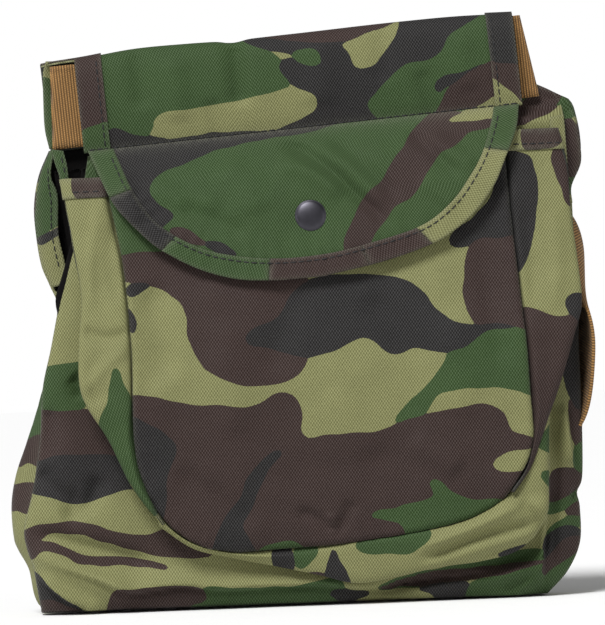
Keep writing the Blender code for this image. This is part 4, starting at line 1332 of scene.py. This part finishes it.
def opening_hems():
    """Turned hems along the edges of both hand openings, with their stitch lines."""
    for name, (outer, inner) in OPENING_HEMS.items():
        rails = (outer, inner) if "left" in name else (inner, outer)
        middle = [tuple(np.add(a, b) / 2 + (0, 0, 0.5)) for a, b in zip(resampled(outer), resampled(inner))]
        grid = loft((rails[0], middle, rails[1]), 60, 12)
        fields = printed(flat(grid), BODY_PRINT if name in WALL_HEMS else BACK_EDGE_PRINT)
        item = cloth(name + "_cloth", grid, HEM_THICKNESS, fields, (CAMOUFLAGE, REVERSE),
                     edge_wear(60, 12))
        place(item, "muff", "camouflage_cloth", (name,))
        if name in WALL_HEMS:
            continue
        line = [(a * 0.3 + b * 0.7)[:2] for a, b in zip(resampled(outer), resampled(inner))]
        sew(name + "_stitches", [line[1:-1]], [item], "muff")


def resampled(points, count=9):
    """Evenly spaced places on a smooth line."""
    return list(smooth_line(points, np.linspace(0, 1, count)))


# ---------------------------------------------------------------- belt tunnel

TUNNEL_LEFT = -104.8
TUNNEL_LEFT_BACK = -121.6
TUNNEL_RIGHT = 104.6
TUNNEL_FOLDS = [
    (-2.0, 4.5, [(-29, 47), (-28, 36), (-29, 12)]),
    (-1.1, 5.0, [(-76, 47), (-75, 34), (-75, 16)]),
    (-1.0, 4.0, [(58, 23), (61, 9), (63, -3)]),
    (-0.8, 4.0, [(-43, 20), (-41, 8), (-39, -2)]),
    (1.0, 6.0, [(-60, 42), (-58, 25), (-60, 8)]),
    (1.0, 8.0, [(10, 44), (12, 28), (8, 8)]),
    (-0.8, 5.0, [(40, 44), (42, 30), (38, 16)]),
    (0.8, 7.0, [(80, 40), (78, 24), (82, 8)]),
]
# How far the top of the tunnel stands above its section: (u, rise)
TUNNEL_CREST = [(-124, -1.5), (-105, -0.9), (-76, 1.2), (-50, 0.8), (-32, 0.1), (0, 0), (50, 0.2),
                (80, -0.3),
                (105, -1.8)]
END_BAND = 12.4
BAND_LIFT = 0.9

# Turned edge of the tunnel's back layer, which shows beside the belt at the left
TUNNEL_BACK_EDGE = [
    [(-115.6, 263.9, 17.2), (-117.4, 258, 15), (-117.9, 245, 13.4), (-117.7, 232, 13.2),
     (-115.9, 222.4, 13.6)],
    [(-108, 264.2, 14), (-109, 258, 13.6), (-109.6, 245, 13.2), (-109.4, 232, 13.4), (-109, 222.4, 14)],
]

def tunnel_grid(first_u, last_u, rows, columns, lift=0.0, start=0.0):
    """The belt tunnel's outer face from low on its back, over the top, to the stitch line in front."""
    section = smooth_line(TUNNEL[::-1], np.linspace(start, 1, rows))
    slope = np.gradient(section, axis=0)
    slope /= np.linalg.norm(slope, axis=1, keepdims=True)
    section = section + np.column_stack([slope[:, 1], -slope[:, 0]]) * lift
    v, depth = section.T
    behind = ease((19.5 - depth) / 4.5)
    low = first_u + (TUNNEL_LEFT_BACK - TUNNEL_LEFT) * behind * (first_u < 0)
    across = spread(columns, 0.5)
    u = low[:, None] * (1 - across) + last_u * across
    grid = np.stack([u, np.repeat(v[:, None], columns, 1), np.repeat(depth[:, None], columns, 1)], -1)
    front = 1 - ease((22 - grid[..., 2]) / 4)
    grid[..., 2] += front * folded(grid, TUNNEL_FOLDS)
    notch = np.exp(-((grid[..., 0] + 29) / 5.0) ** 2) * ease((grid[..., 1] - 38) / 6)
    grid[..., 1] += profile(TUNNEL_CREST, grid[..., 0]) * ease((grid[..., 1] - 30) / 15) - 1.5 * notch
    return grid


def unrolled(grid):
    """Print places of a tunnel grid: v runs on over the top of the tunnel."""
    ridge = np.argmax(grid[..., 1].mean(axis=1))
    places = grid[..., :2].copy()
    places[:ridge, :, 1] = 2 * places[ridge, :, 1] - places[:ridge, :, 1]
    return places.reshape(-1, 2)


def belt_tunnel():
    """The folded cloth that the belt runs through, its hemmed ends and its stitch lines."""
    grid = tunnel_grid(TUNNEL_LEFT, TUNNEL_RIGHT, 90, 150)
    places = unrolled(grid)
    fields = merged(printed(places, TUNNEL_PRINT), woodland(places, 23), ease((places[:, 1] - 50) / 10))
    item = cloth("belt_tunnel", untilted(grid), 0.9, fields, (CAMOUFLAGE, REVERSE), edge_wear(90, 150))
    place(item, "muff", "camouflage_cloth", ("tunnel_front", "tunnel_back"))
    trims = []
    for name, node, first, last, patches, ground in (
        ("tunnel_left_band", "tunnel_left_hem", TUNNEL_LEFT - 0.4, TUNNEL_LEFT + END_BAND,
         LEFT_TUNNEL_HEM_PRINT, "brown"),
        ("tunnel_right_band", "tunnel_right_hem", TUNNEL_RIGHT - END_BAND, TUNNEL_RIGHT + 0.4,
         RIGHT_TUNNEL_HEM_PRINT, "black"),
    ):
        grid = tunnel_grid(first, last, 80, 16, BAND_LIFT, 0.12)
        fields = printed(unrolled(grid), patches, ground)
        band = cloth(name, untilted(grid), 0.8, fields, (CAMOUFLAGE, REVERSE), edge_wear(80, 16))
        place(band, "muff", "camouflage_cloth", (node,))
        trims.append(band)
        seam = last - 2.4 if first < 0 else first + 2.4
        line = [tilted(seam, v) for v in (1.5, 15, 30, 43.5)]
        trims.append(sew(name + "_stitches", [line], [band], "muff"))
    line = [tilted(u, 1.0) for u in (-103, -60, 0, 60, 103)]
    trims.append(sew("tunnel_foot_stitches", [line], [item] + trims[::2], "muff"))
    edge = loft(TUNNEL_BACK_EDGE, 40, 8)
    strip = cloth("tunnel_back_edge", edge, 0.8, printed(flat(edge), BACK_EDGE_PRINT), (CAMOUFLAGE, REVERSE),
                  edge_wear(40, 8))
    place(strip, "muff", "camouflage_cloth")


# ---------------------------------------------------------------- flap

FLAP_LEFT_EDGE = [
    (-103.4, 0.6), (-98.7, -13), (-95.4, -21.9), (-91.1, -30.1), (-82.7, -40.8), (-73.3, -50.4),
    (-56.3, -61.4), (-38.2, -68.2), (-19.3, -70.7),
]
FLAP_RIGHT_EDGE = [
    (103.4, 0.6), (100.6, -11), (93.2, -25.4), (87.3, -36.2), (78.5, -46.7), (67, -55.5), (54.1, -61.6),
    (30.5, -67.2), (1.4, -71.1),
]
BAND_INNER_EDGE = [
    (-91, 0.6), (-89.6, -4), (-83, -22.4), (-73, -38.4), (-55, -51.2), (-36.5, -57.4), (-17.7, -60.4),
    (4, -60.6), (24, -58), (50, -52.4), (66, -42.5), (77, -30), (82.3, -22.3), (86, -14.5), (89.7, -5),
    (91.3, 0.6),
]
FLAP_FOLDS = [
    (-1.8, 3.0, [(-17, -3), (-3, -10), (11, -22), (22, -35), (30, -43), (38, -54)]),
    (1.5, 4.5, [(-16, -14), (-3, -19), (8, -27), (16, -36)]),
    (1.1, 4.0, [(2, -6), (16, -17), (27, -30), (37, -42)]),
    (-1.0, 3.0, [(8, -3), (20, -13), (32, -27), (44, -40)]),
    (-0.9, 4.0, [(-63, -28), (-47, -39), (-30, -48)]),
    (1.0, 5.0, [(-80, -18), (-60, -28), (-40, -32)]),
    (-1.1, 3.0, [(48, -6), (60, -18), (72, -32)]),
    (1.1, 4.5, [(58, -8), (70, -20), (80, -28)]),
    (1.1, 4.5, [(51, -30), (60, -36), (69, -45)]),
    (1.1, 4.5, [(-90, -10), (-87, -25), (-81, -37)]),
    (1.1, 8.0, [(-40, -10), (-30, -24), (-26, -40)]),
]
FLAP_THICKNESS = 1.0
FLAP_INSET = np.array([0.985, 0.98])
FLAP_CLEARANCE = 1.6
FLAP_STANDING = 1.8
SNAP_DIMPLE = 1.3
SNAP_DIMPLE_RADIUS = 10.0
FLAP_JOINTS = (0.0, 0.09, 0.218, 0.41, 0.591, 0.704, 0.915, 1.0)
BAND_SHARES = np.linspace(0, 1, 60)
BAND_SEAM = 0.22  # where the stitches run across the band, from its inner edge
FLAP_BAND_INKS = ("green", "black", "green", "brown", "brown", "khaki", "green")
SNAP_U = -1.2
SNAP_V = -41.8


def flap_depth(grid):
    """Depth of the flap's outer face at places of (u, v)."""
    depth = profile(FLAP, grid[..., 1]) + folded(grid, FLAP_FOLDS) + small_waves(grid, 51, 32, 0.25)
    far = np.hypot(grid[..., 0] - SNAP_U, grid[..., 1] - SNAP_V)
    depth -= SNAP_DIMPLE * np.exp(-(far / SNAP_DIMPLE_RADIUS) ** 2)
    depth += pucker(grid, even_line(BAND_INNER_EDGE, 3.0), 0.35, 8.5, 5.0)
    _, height = tilted(grid[..., 0], grid[..., 1])
    over_pouch = 1 - ease((grid[..., 1] + 19) / 5)
    depth += FLAP_STANDING * ease((-grid[..., 1] - 8) / 12)
    depth = np.maximum(depth, profile(POUCH, height) + FLAP_CLEARANCE - 12 * (1 - over_pouch))
    hinge = ease(-grid[..., 1] / 9)
    return depth * hinge + (1 - hinge) * profile(FLAP, grid[..., 1])


def flap_bend(item, slot="camouflage_cloth", replaced=()):
    """Fixes a flap piece in place and hides the CAD nodes that it stands for; the stitch line's ends that it
    works out are not used, so nothing bends it with the flap.
    """
    start = Vector(world([*tilted(0, 0.8), 25.0]))
    end = Vector(world([*tilted(0, -7.5), 25.0]))
    return place(item, None, slot, replaced, blend=("muff", "flap", start, end))


def flap():
    """The flap's cloth, the joined lengths of its band and their stitches."""
    places = chords(FLAP_LEFT_EDGE, FLAP_RIGHT_EDGE, 90, 190)
    rim, _, _ = nearest(flat(places), edge_line(FLAP_LEFT_EDGE, FLAP_RIGHT_EDGE))
    drop = curl(rim, 2.5, 0.9).reshape(places.shape[:2])
    drop *= ease(-places[..., 1] / 6)
    grid = raised(places * FLAP_INSET, flap_depth(places * FLAP_INSET) - drop)
    fields = printed(flat(grid), FLAP_PRINT, "green")
    item = cloth("flap_cloth", untilted(grid), FLAP_THICKNESS, fields, (CAMOUFLAGE, REVERSE),
                 edge_wear(90, 190))
    flap_bend(item, replaced=("flap_panel",))
    outer = edge_line(FLAP_LEFT_EDGE, FLAP_RIGHT_EDGE)
    trims = flap_band(outer)
    rims = [smooth_line(rim_points, BAND_SHARES) for rim_points in (outer, BAND_INNER_EDGE)]
    seam = rims[0][:, :2] * BAND_SEAM + rims[1] * (1 - BAND_SEAM)
    line = [tilted(u, v) for u, v in seam if v < -0.5]
    stitches = sew("flap_band_stitches", [line], trims, None)
    flap_bend(stitches)
    return item


def flap_band(outer):
    """The flap's facing, cut as seven lengths that are joined end to end."""
    pieces = []
    shares = np.linspace(0, 1, 300)
    for index, ink in enumerate(FLAP_BAND_INKS):
        start, end = FLAP_JOINTS[index], FLAP_JOINTS[index + 1]
        steps = max(12, int((end - start) * 200))
        reach = np.linspace(start, end, steps)
        first, last = smooth_line(BAND_INNER_EDGE, reach), smooth_line(outer, reach)
        across = np.linspace(0, 1, 14)[:, None, None]
        places = first[None] * (1 - across) + last[None] * across
        gap = (1 - np.abs(2 * across[..., 0] - 1))
        ends = np.minimum(reach - start, end - reach)[None, :] * line_length(outer)
        puff = BAND_LIFT * (0.55 + 0.45 * ease(gap / 0.22)) * (0.45 + 0.55 * ease(ends / 1.6))
        grid = raised(places, flap_depth(places) + puff + 0.15)
        fields = bare_cloth(flat(grid), ink)
        item = cloth(f"flap_band_{index + 1}", untilted(grid), 0.8, fields, (CAMOUFLAGE, REVERSE),
                     edge_wear(14, steps, 1.0))
        flap_bend(item, replaced=("flap_facing",))
        pieces.append(item)
    return pieces


# Turned outlines from the axis outwards and back: (radius, height)
CAP_PROFILE = [
    (0.3, 2.05), (1.5, 2.02), (3.0, 1.92), (4.5, 1.72), (5.6, 1.48), (6.3, 1.25), (6.75, 1.0), (6.95, 0.82),
    (7.1, 0.86), (7.3, 0.84), (7.45, 0.68), (7.5, 0.45), (7.45, 0.2), (7.2, 0.05), (6.8, 0.0), (0.3, 0.0),
]
SOCKET_PROFILE = [
    (6.2, 0.0), (6.2, 0.55), (5.7, 0.95), (4.6, 1.1), (3.9, 1.0), (3.5, 0.7), (3.4, 0.3), (3.4, 0.0),
]
STUD_PROFILE = [
    (0.3, 1.35), (1.5, 1.32), (2.2, 1.15), (2.5, 0.9), (2.3, 0.55), (2.2, 0.4), (3.6, 0.35), (5.0, 0.28),
    (5.4, 0.12), (5.4, 0.0), (0.3, 0.0),
]


def turned(name, profile_points, steps, origin, axis, material):
    """A turned piece from (radius, height) points, read from the axis outwards and back."""
    vertices, faces = [], []
    side = axis.orthogonal().normalized()
    other = axis.cross(side)
    for radius, height in profile_points:
        for step in range(steps):
            angle = 2 * math.pi * step / steps
            spoke = side * math.cos(angle) + other * math.sin(angle)
            vertices.append(origin + spoke * radius * MM + axis * height * MM)
    count = len(profile_points)
    for ring in range(count - 1):
        for step in range(steps):
            after = (step + 1) % steps
            low, high = ring * steps, (ring + 1) * steps
            faces.append((low + step, high + step, high + after, low + after))
    if profile_points[0][0] < 1:
        faces.append(tuple(range(steps)))
        faces.append(tuple(reversed(range((count - 1) * steps, count * steps))))
    else:
        last = (count - 1) * steps
        faces += [(last + s, s, (s + 1) % steps, last + (s + 1) % steps) for s in range(steps)]
    return new_loose(name, vertices, faces, material)


def snap(flap_cloth, panel):
    """The snap's domed cap on the flap, its socket under the flap, and its stud on the pouch."""
    x, z = tilted(SNAP_U, SNAP_V)
    for name, node, outline, body, cloth_under, behind in (
        ("snap_cap_turned", "snap_cap", CAP_PROFILE, "flap", flap_cloth, False),
        ("snap_socket_turned", "snap_socket", SOCKET_PROFILE, "flap", flap_cloth, True),
        ("snap_stud_turned", "snap_stud", STUD_PROFILE, "muff", panel, False),
    ):
        seat, normal = find_cloth(x, z, [cloth_under], behind)
        item = turned(name, outline, 72, seat + normal * 0.05 * MM, normal, METAL)
        item.data.shade_smooth()
        place(item, body, "gunmetal", (node,))


# ---------------------------------------------------------------- bellows pouch

PANEL_LEFT = [
    (-87.6, 202), (-87.6, 196.4), (-83.3, 173.6), (-81.2, 156.5), (-79.4, 123.4), (-79.6, 80.9),
    (-75.7, 60.8), (-66.9, 43.5), (-51.3, 31.5), (-32.6, 27),
]
PANEL_RIGHT = [
    (101.5, 214), (101.5, 210.9), (102.9, 184.3), (105.3, 151), (107.6, 120.8), (108.5, 95.2),
    (109.1, 76.2), (104.3, 62.3), (93.4, 47.6), (76.9, 38.8), (46.9, 32.8), (12.2, 29),
]
PANEL_FOLDS = [
    (-1.7, 6.0, [(-70, 158), (-66, 134), (-63, 106)]),
    (1.6, 6.0, [(50, 79), (62, 71), (75, 61)]),
    (-1.3, 3.0, [(14, 33), (7, 41), (-5, 47)]),
    (-1.3, 3.0, [(12, 33), (18, 41), (23, 51)]),
    (1.0, 3.0, [(13, 33), (12, 45)]),
    (-1.1, 7.0, [(31, 148), (48, 129), (60, 111)]),
    (-1.0, 6.0, [(-76, 152), (-72, 124), (-72, 98)]),
    (-1.1, 6.0, [(87, 170), (91, 142), (96, 109)]),
    (-1.4, 6.0, [(-61, 70), (-41, 52), (-20, 41)]),
    (-0.9, 8.0, [(2, 154), (-9, 131), (-15, 109)]),
    (1.3, 12.0, [(-30, 140), (-34, 110), (-28, 80)]),
    (1.4, 12.0, [(72, 140), (76, 110), (70, 86)]),
    (1.0, 10.0, [(10, 104), (24, 88), (30, 66)]),
]
PANEL_ROLL = 2.4


def pouch_surface(rows=120, columns=130):
    """Outer face of the pouch's front panel."""
    places = chords(PANEL_LEFT, PANEL_RIGHT, rows, columns)
    rim, _, _ = nearest(flat(places), edge_line(PANEL_LEFT, PANEL_RIGHT))
    depth = profile(POUCH, places[..., 1]) + folded(places, PANEL_FOLDS) + small_waves(places, 61, 40, 0.45)
    depth += pucker(places, edge_line(PANEL_LEFT, PANEL_RIGHT), 0.3, 9.0, 6.0)
    depth -= curl(rim, 3.2, PANEL_ROLL).reshape(depth.shape)
    return raised(places, depth)


def pouch_panel():
    """The pouch's front panel and the hem behind its mouth."""
    grid = pouch_surface()
    item = cloth("pouch_cloth", grid, 1.0, printed(flat(grid), PANEL_PRINT), (CAMOUFLAGE, REVERSE),
                 edge_wear(*grid.shape[:2]), planar=26)
    place(item, "muff", "camouflage_cloth", ("pouch_panel",))
    hem = lifted(grid[:9, 4:-4], -1.3)
    band = cloth("pouch_mouth_band", hem, 0.8, bare_cloth(flat(hem), "green"), (CAMOUFLAGE, REVERSE))
    place(band, "muff", "camouflage_cloth", ("pouch_mouth_hem",))
    return item


# Gusset strips: heights with the panel's seam and the strip's outer fold at each, millimetres
LEFT_STRIP = [
    (207.2, -87.6, -110.5), (196, -87.6, -108.8), (170, -82.7, -105), (150, -80.6, -102.3),
    (130, -79.6, -104), (112, -79.3, -104.7), (100, -79.3, -102), (82, -79.6, -91.6), (63, -76.2, -83.2),
    (51, -71.4, -75.6), (42, -66.5, -68.4),
]
RIGHT_STRIP = [
    (222.4, 101.2, 127), (204, 101.8, 131), (183, 102.9, 131.4), (161, 104.4, 133.5), (139, 106.2, 134.6),
    (124, 107.4, 130.3), (102, 108.3, 123), (84, 109, 116), (63.6, 105.2, 108.4), (51, 97.2, 99.2),
]


def side_strip(stations, side):
    """Rails of a side gusset: out of the panel's seam, over a crest, round the outer fold and back."""
    rails = [[] for _ in range(9)]
    for z, seam, fold in stations:
        front = float(profile(POUCH, z))
        wall = float(profile(WALL, z))
        width = abs(fold - seam)
        shrink = ease(width / 16)
        steps = [
            (seam - side * 1.6, front - 4.8), (seam + side * 0.2, front - 3.4),
            (seam + side * min(2.6, width * 0.35), front - 0.4),
            ((seam + fold) / 2, front - 0.9 - 0.6 * shrink),
            (fold - side * min(2.4, width * 0.2), front - 2.2),
            (fold, front - 4.8), (fold - side * 1.5 * shrink, front * 0.55 + wall * 0.45),
            (fold - side * 5 * shrink, wall + 2.4), (fold - side * 1.0, wall + 0.6),
        ]
        for rail_points, (x, depth) in zip(rails, steps):
            rail_points.append((x, z, depth))
    return rails if side > 0 else rails[::-1]


STRIP_FOLDS = [
    (-1.3, 3.0, [(-78, 134), (-92, 131), (-104, 136)]),
    (0.9, 3.0, [(-78, 128), (-91.2, 118), (-105, 104)]),
    (-0.8, 3.5, [(-82.7, 192), (-88, 168), (-83, 146)]),
    (0.7, 3.0, [(-92, 196), (-97, 168), (-98, 142)]),
    (-0.7, 3.0, [(-97, 122), (-99, 110), (-95, 98)]),
    (-0.9, 4.0, [(108, 190), (112, 160), (110, 132)]),
    (0.8, 4.0, [(122, 186), (124, 160), (120, 132)]),
]
SEAM_UNDER = [
    (-70, 46), (-58, 35), (-42, 29), (-23, 26.5), (2, 28), (26, 31), (52, 34), (77, 39), (93, 48),
    (104, 62), (108, 76), (109, 92),
]
RIM_UNDER = [
    (-69.5, 41), (-60, 33), (-46, 27), (-16, 20), (7, 14.5), (28, 10), (54, 15.5), (80, 18), (104, 25),
    (113, 36), (116, 60), (116.8, 84), (118, 97),
]
UNDER_FOLDS = [
    (-2.0, 2.6, [(50, 19), (82, 30), (115, 37)]),
    (1.5, 2.6, [(52, 25), (82, 36), (104, 46)]),
    (-1.4, 2.2, [(60, 13), (91, 23), (114, 28)]),
    (-1.8, 2.6, [(101, 49), (109, 37), (114, 28)]),
    (-1.4, 2.2, [(-55, 32), (-37, 25), (-18, 22), (-2, 19)]),
]


def under_strip():
    """Outer face of the bottom gusset, from the panel's seam down to its rim and back to the wall."""
    shares = np.linspace(0, 1, 14)
    seam, rim = smooth_line(SEAM_UNDER, shares), smooth_line(RIM_UNDER, shares)
    rails = [[] for _ in range(8)]
    for (x, z), (rim_x, rim_z), share in zip(seam, rim, shares):
        front = float(profile(POUCH, max(z, 30)))
        wall = float(profile(WALL, rim_z))
        out = np.array([rim_x - x, rim_z - z])
        width = max(float(np.linalg.norm(out)), 0.1)
        out = out / width
        fuller = 1.6 * ease((share - 0.45) / 0.2)
        steps = [
            (-1.6, front - 4.8), (0.2, front - 3.4), (min(2.6, 0.3 * width), front - 0.8 + fuller * 0.4),
            (0.55 * width, front - 1.4 + fuller), (0.88 * width, front - 2.8 + fuller), (width, front - 5.0),
            (width - 2.4, (front + wall) / 2 - 1), (width - 4.2, wall + 0.4),
        ]
        for rail_points, (reach, depth) in zip(rails, steps):
            rail_points.append((x + out[0] * reach, z + out[1] * reach, depth))
    sheet = loft(rails, 130, 40).transpose(1, 0, 2)
    sheet[..., 2] -= 3.6 * ease((sheet[..., 0] - 88) / 12) * ease((sheet[..., 1] - 44) / 6)
    sheet[..., 2] += folded(sheet, UNDER_FOLDS) * ease((sheet[..., 2] - 41) / 3)
    return sheet


def gussets():
    """The bellows round the pouch: left, right and bottom strips and the hems at their tops."""
    for name, stations, side, patches, hem_patches, ground, area in (
        ("gusset_left", LEFT_STRIP, -1, LEFT_GUSSET_PRINT, LEFT_HEM_PRINT, "khaki", 0.0062),
        ("gusset_right", RIGHT_STRIP, 1, RIGHT_GUSSET_PRINT, RIGHT_HEM_PRINT, "khaki", 0.0068),
    ):
        grid = loft(side_strip(stations, side), 120, 54)
        grid[..., 2] += small_waves(grid, 71, 26, 0.3)
        above_wall = grid[..., 2] - profile(WALL, grid[..., 1])
        grid[..., 2] += folded(grid, STRIP_FOLDS) * ease((above_wall - 4) / 3)
        item = cloth(name + "_strip", grid, 0.8, printed(flat(grid), patches, ground), (CAMOUFLAGE, REVERSE),
                     edge_wear(120, 54))
        place(item, "muff", "camouflage_cloth", ("pouch_" + name,))
        hem = lifted(grid[:8, 3:-3], 0.8)
        fields = printed(flat(hem), hem_patches, ground)
        band = cloth(name + "_band", hem, 0.8, fields, (CAMOUFLAGE, REVERSE), edge_wear(*hem.shape[:2]))
        place(band, "muff", "camouflage_cloth", (name + "_hem",))
        line = hem[-3, 6:-6, :2] if side > 0 else hem[-3, 20:-6, :2]
        stitches = sew(name + "_stitches", [line[::4]], [band], "muff")
    grid = under_strip()
    item = cloth("gusset_bottom_strip", grid, 0.8, printed(flat(grid), GUSSET_BOTTOM_PRINT),
                 (CAMOUFLAGE, CAMOUFLAGE), planar=44)
    place(item, "muff", "camouflage_cloth", ("pouch_gusset_bottom",))


# ---------------------------------------------------------------- webbing

WEB_FOOT = 3.4
WEB_WIDTH = 39.6
WEB_LEAN = 5.2
WEB_LEFT_LEAN = 3.0
WEB_THICKNESS = 1.5
WEB_ROWS = 21
WEB_PATH = [
    (-58, 14.5), (-90, 14.5), (-112, 14.5), (-115.4, 14.7), (-116.6, 15.7), (-115.4, 16.7), (-112, 16.9),
    (-60, 16.9), (0, 16.9), (60, 16.9), (106, 16.9), (111.8, 16.7), (113.4, 15.7), (111.8, 14.7),
    (106, 14.5),
    (90, 14.5),
]
# The middle of the tail's width, its turn in degrees, and how far its upper edge leans to the right
TAIL_PATH = [
    (94, 174, 17.6, -76, 0), (110, 175, 17.6, -76, 0), (120, 172, 16.5, -66, 4), (126.6, 162, 15.5, -54, 8),
    (133.2, 150, 16, -34, 5), (137.8, 138, 20, -12, -3), (139.4, 118, 22, -8, -8), (134, 96, 20, -36, -5),
    (117, 87, 18.5, -70, 0), (96, 84, 18.5, -76, 0), (70, 82, 18.5, -80, 0),
]
SELVEDGE = 1.6


def webbing_piece(name, grid, node):
    """A length of webbing whose rows run along it."""
    item = cloth(name, lifted(grid, WEB_THICKNESS / 2), WEB_THICKNESS, None, (WEBBING, WEBBING))
    rows, columns = grid.shape[:2]
    row = np.minimum(np.arange(rows), np.arange(rows)[::-1]) * WEB_WIDTH / (rows - 1)
    edge = np.repeat(np.exp(-((row - SELVEDGE) / 0.8) ** 2), columns)
    item.data.attributes["wear"].data.foreach_set("value", np.tile(edge, 2).astype(np.float32))
    return place(item, "belt", "webbing", (node,))


def belt():
    """The webbing through the tunnel, with both ends folded back."""
    path = even_line(WEB_PATH, 1.0)
    x, depth = path.T
    lean = WEB_LEAN * ease((x - 90) / 20)
    foot = WEB_LEFT_LEAN * ease((-90 - x) / 20)
    share = np.linspace(1, 0, WEB_ROWS)[:, None]
    u = x - lean * share - foot * (1 - share)
    v = np.broadcast_to(WEB_FOOT + WEB_WIDTH * share, u.shape)
    grid = np.stack([u, v, np.broadcast_to(depth, u.shape)], -1)
    webbing_piece("tunnel_webbing", untilted(grid), "belt_webbing")


def belt_tail():
    """The webbing's tail, which bulges out of the right opening."""
    path = smooth_line(TAIL_PATH, np.linspace(0, 1, 150))
    reach = np.linspace(WEB_WIDTH / 2, -WEB_WIDTH / 2, WEB_ROWS)[:, None]
    turn = np.radians(path[:, 3])[None]
    sag = 0.8 * (1 - (2 * reach / WEB_WIDTH) ** 2)
    lean = path[:, 4][None] * (0.5 + reach / WEB_WIDTH)
    x = path[:, 0][None] + sag + lean
    z = path[:, 1][None] - reach * np.sin(turn)
    depth = path[:, 2][None] - reach * np.cos(turn)
    grid = np.stack([x, z, depth], -1)
    webbing_piece("tail_webbing", grid, "belt_tail")


# ---------------------------------------------------------------- stage

CAMERA_PLACE = (0.0022, -2.6085, 0.1394)
CAMERA_ROLL = 0.0394
FRAME_WIDTH = 0.2969
SENSOR = 36.0
MUFF_DISTANCE = 2.6
AIM = (0, 0, 0.13)
AMBIENT = 0.25
KEY = 3.4
KEY_SPREAD = 22
KEY_WAY = (0.6, 1.2, -1.65)
# Soft lamps: name, place, size and power
LAMPS = (("side", (-1.9, -0.5, 0.35), 0.8, 8), ("fill", (1.6, -1.2, 0.3), 1.2, 6))
FLOOR_RADIUS = 6
FLOOR_SIDES = 64


def camera():
    """A long lens straight in front, rolled by the muff's lean."""
    data = bpy.data.cameras.new("camera")
    data.sensor_width = SENSOR
    data.lens = SENSOR * MUFF_DISTANCE / FRAME_WIDTH
    data.clip_start = 0.1
    data.clip_end = 20
    item = bpy.data.objects.new("camera", data)
    cos, sin = math.sqrt(1 - CAMERA_ROLL ** 2), CAMERA_ROLL
    item.matrix_world = Matrix((
        (cos, sin, 0, CAMERA_PLACE[0]), (0, 0, -1, CAMERA_PLACE[1]), (-sin, cos, 0, CAMERA_PLACE[2]),
        (0, 0, 0, 1),
    ))
    bpy.context.scene.collection.objects.link(item)
    bpy.context.scene.camera = item


def lamp(name, place_at, size, power):
    """A soft square light that faces the muff."""
    data = bpy.data.lights.new(name, "AREA")
    data.size = size
    data.energy = power
    item = bpy.data.objects.new(name, data)
    item.location = place_at
    aim = Vector(AIM) - Vector(place_at)
    item.rotation_euler = aim.to_track_quat("-Z", "Y").to_euler()
    bpy.context.scene.collection.objects.link(item)


def pale_floor():
    """A plain round floor."""
    mesh = bpy.data.meshes.new("floor")
    angles = np.linspace(0, 2 * math.pi, FLOOR_SIDES, endpoint=False)
    edge = [(FLOOR_RADIUS * math.cos(a), FLOOR_RADIUS * math.sin(a), 0) for a in angles]
    mesh.from_pydata(edge, [], [tuple(range(FLOOR_SIDES))])
    mesh.materials.append(floor_material())
    floor = bpy.data.objects.new("floor", mesh)
    bpy.context.scene.collection.objects.link(floor)


def surround():
    """A white backdrop that lights the muff only weakly."""
    world_data = bpy.data.worlds.new("studio")
    world_data.use_nodes = True
    tree = world_data.node_tree
    backdrop = tree.nodes["Background"]
    ambient = tree.nodes.new("ShaderNodeBackground")
    for node, strength in ((backdrop, 1.0), (ambient, AMBIENT)):
        node.inputs["Color"].default_value = (1, 1, 1, 1)
        node.inputs["Strength"].default_value = strength
    path = tree.nodes.new("ShaderNodeLightPath")
    mix = tree.nodes.new("ShaderNodeMixShader")
    tree.links.new(path.outputs["Is Camera Ray"], mix.inputs[0])
    tree.links.new(ambient.outputs[0], mix.inputs[1])
    tree.links.new(backdrop.outputs[0], mix.inputs[2])
    tree.links.new(mix.outputs[0], tree.nodes["World Output"].inputs[0])
    bpy.context.scene.world = world_data
    bpy.context.scene.view_settings.view_transform = "Standard"


def key_light():
    """Broad light from the upper left."""
    sun = bpy.data.lights.new("key", "SUN")
    sun.energy = KEY
    sun.angle = math.radians(KEY_SPREAD)
    item = bpy.data.objects.new("key", sun)
    item.rotation_euler = Vector(KEY_WAY).to_track_quat("-Z", "Y").to_euler()
    bpy.context.scene.collection.objects.link(item)


def studio():
    """A pale floor, a white surround, a key light and two weak lamps."""
    pale_floor()
    surround()
    key_light()
    for name, place_at, size, power in LAMPS:
        lamp(name, place_at, size, power)


def snap_back_plate():
    """The snap's back plate keeps its CAD shape."""
    for slot in bpy.data.objects["snap_post"].material_slots:
        slot.material = METAL


camera()
hand_tube_front()
hand_tube_back()
linings()
opening_hems()
belt_tunnel()
panel_piece = pouch_panel()
gussets()
belt()
belt_tail()
snap(flap(), panel_piece)
snap_back_plate()
studio()
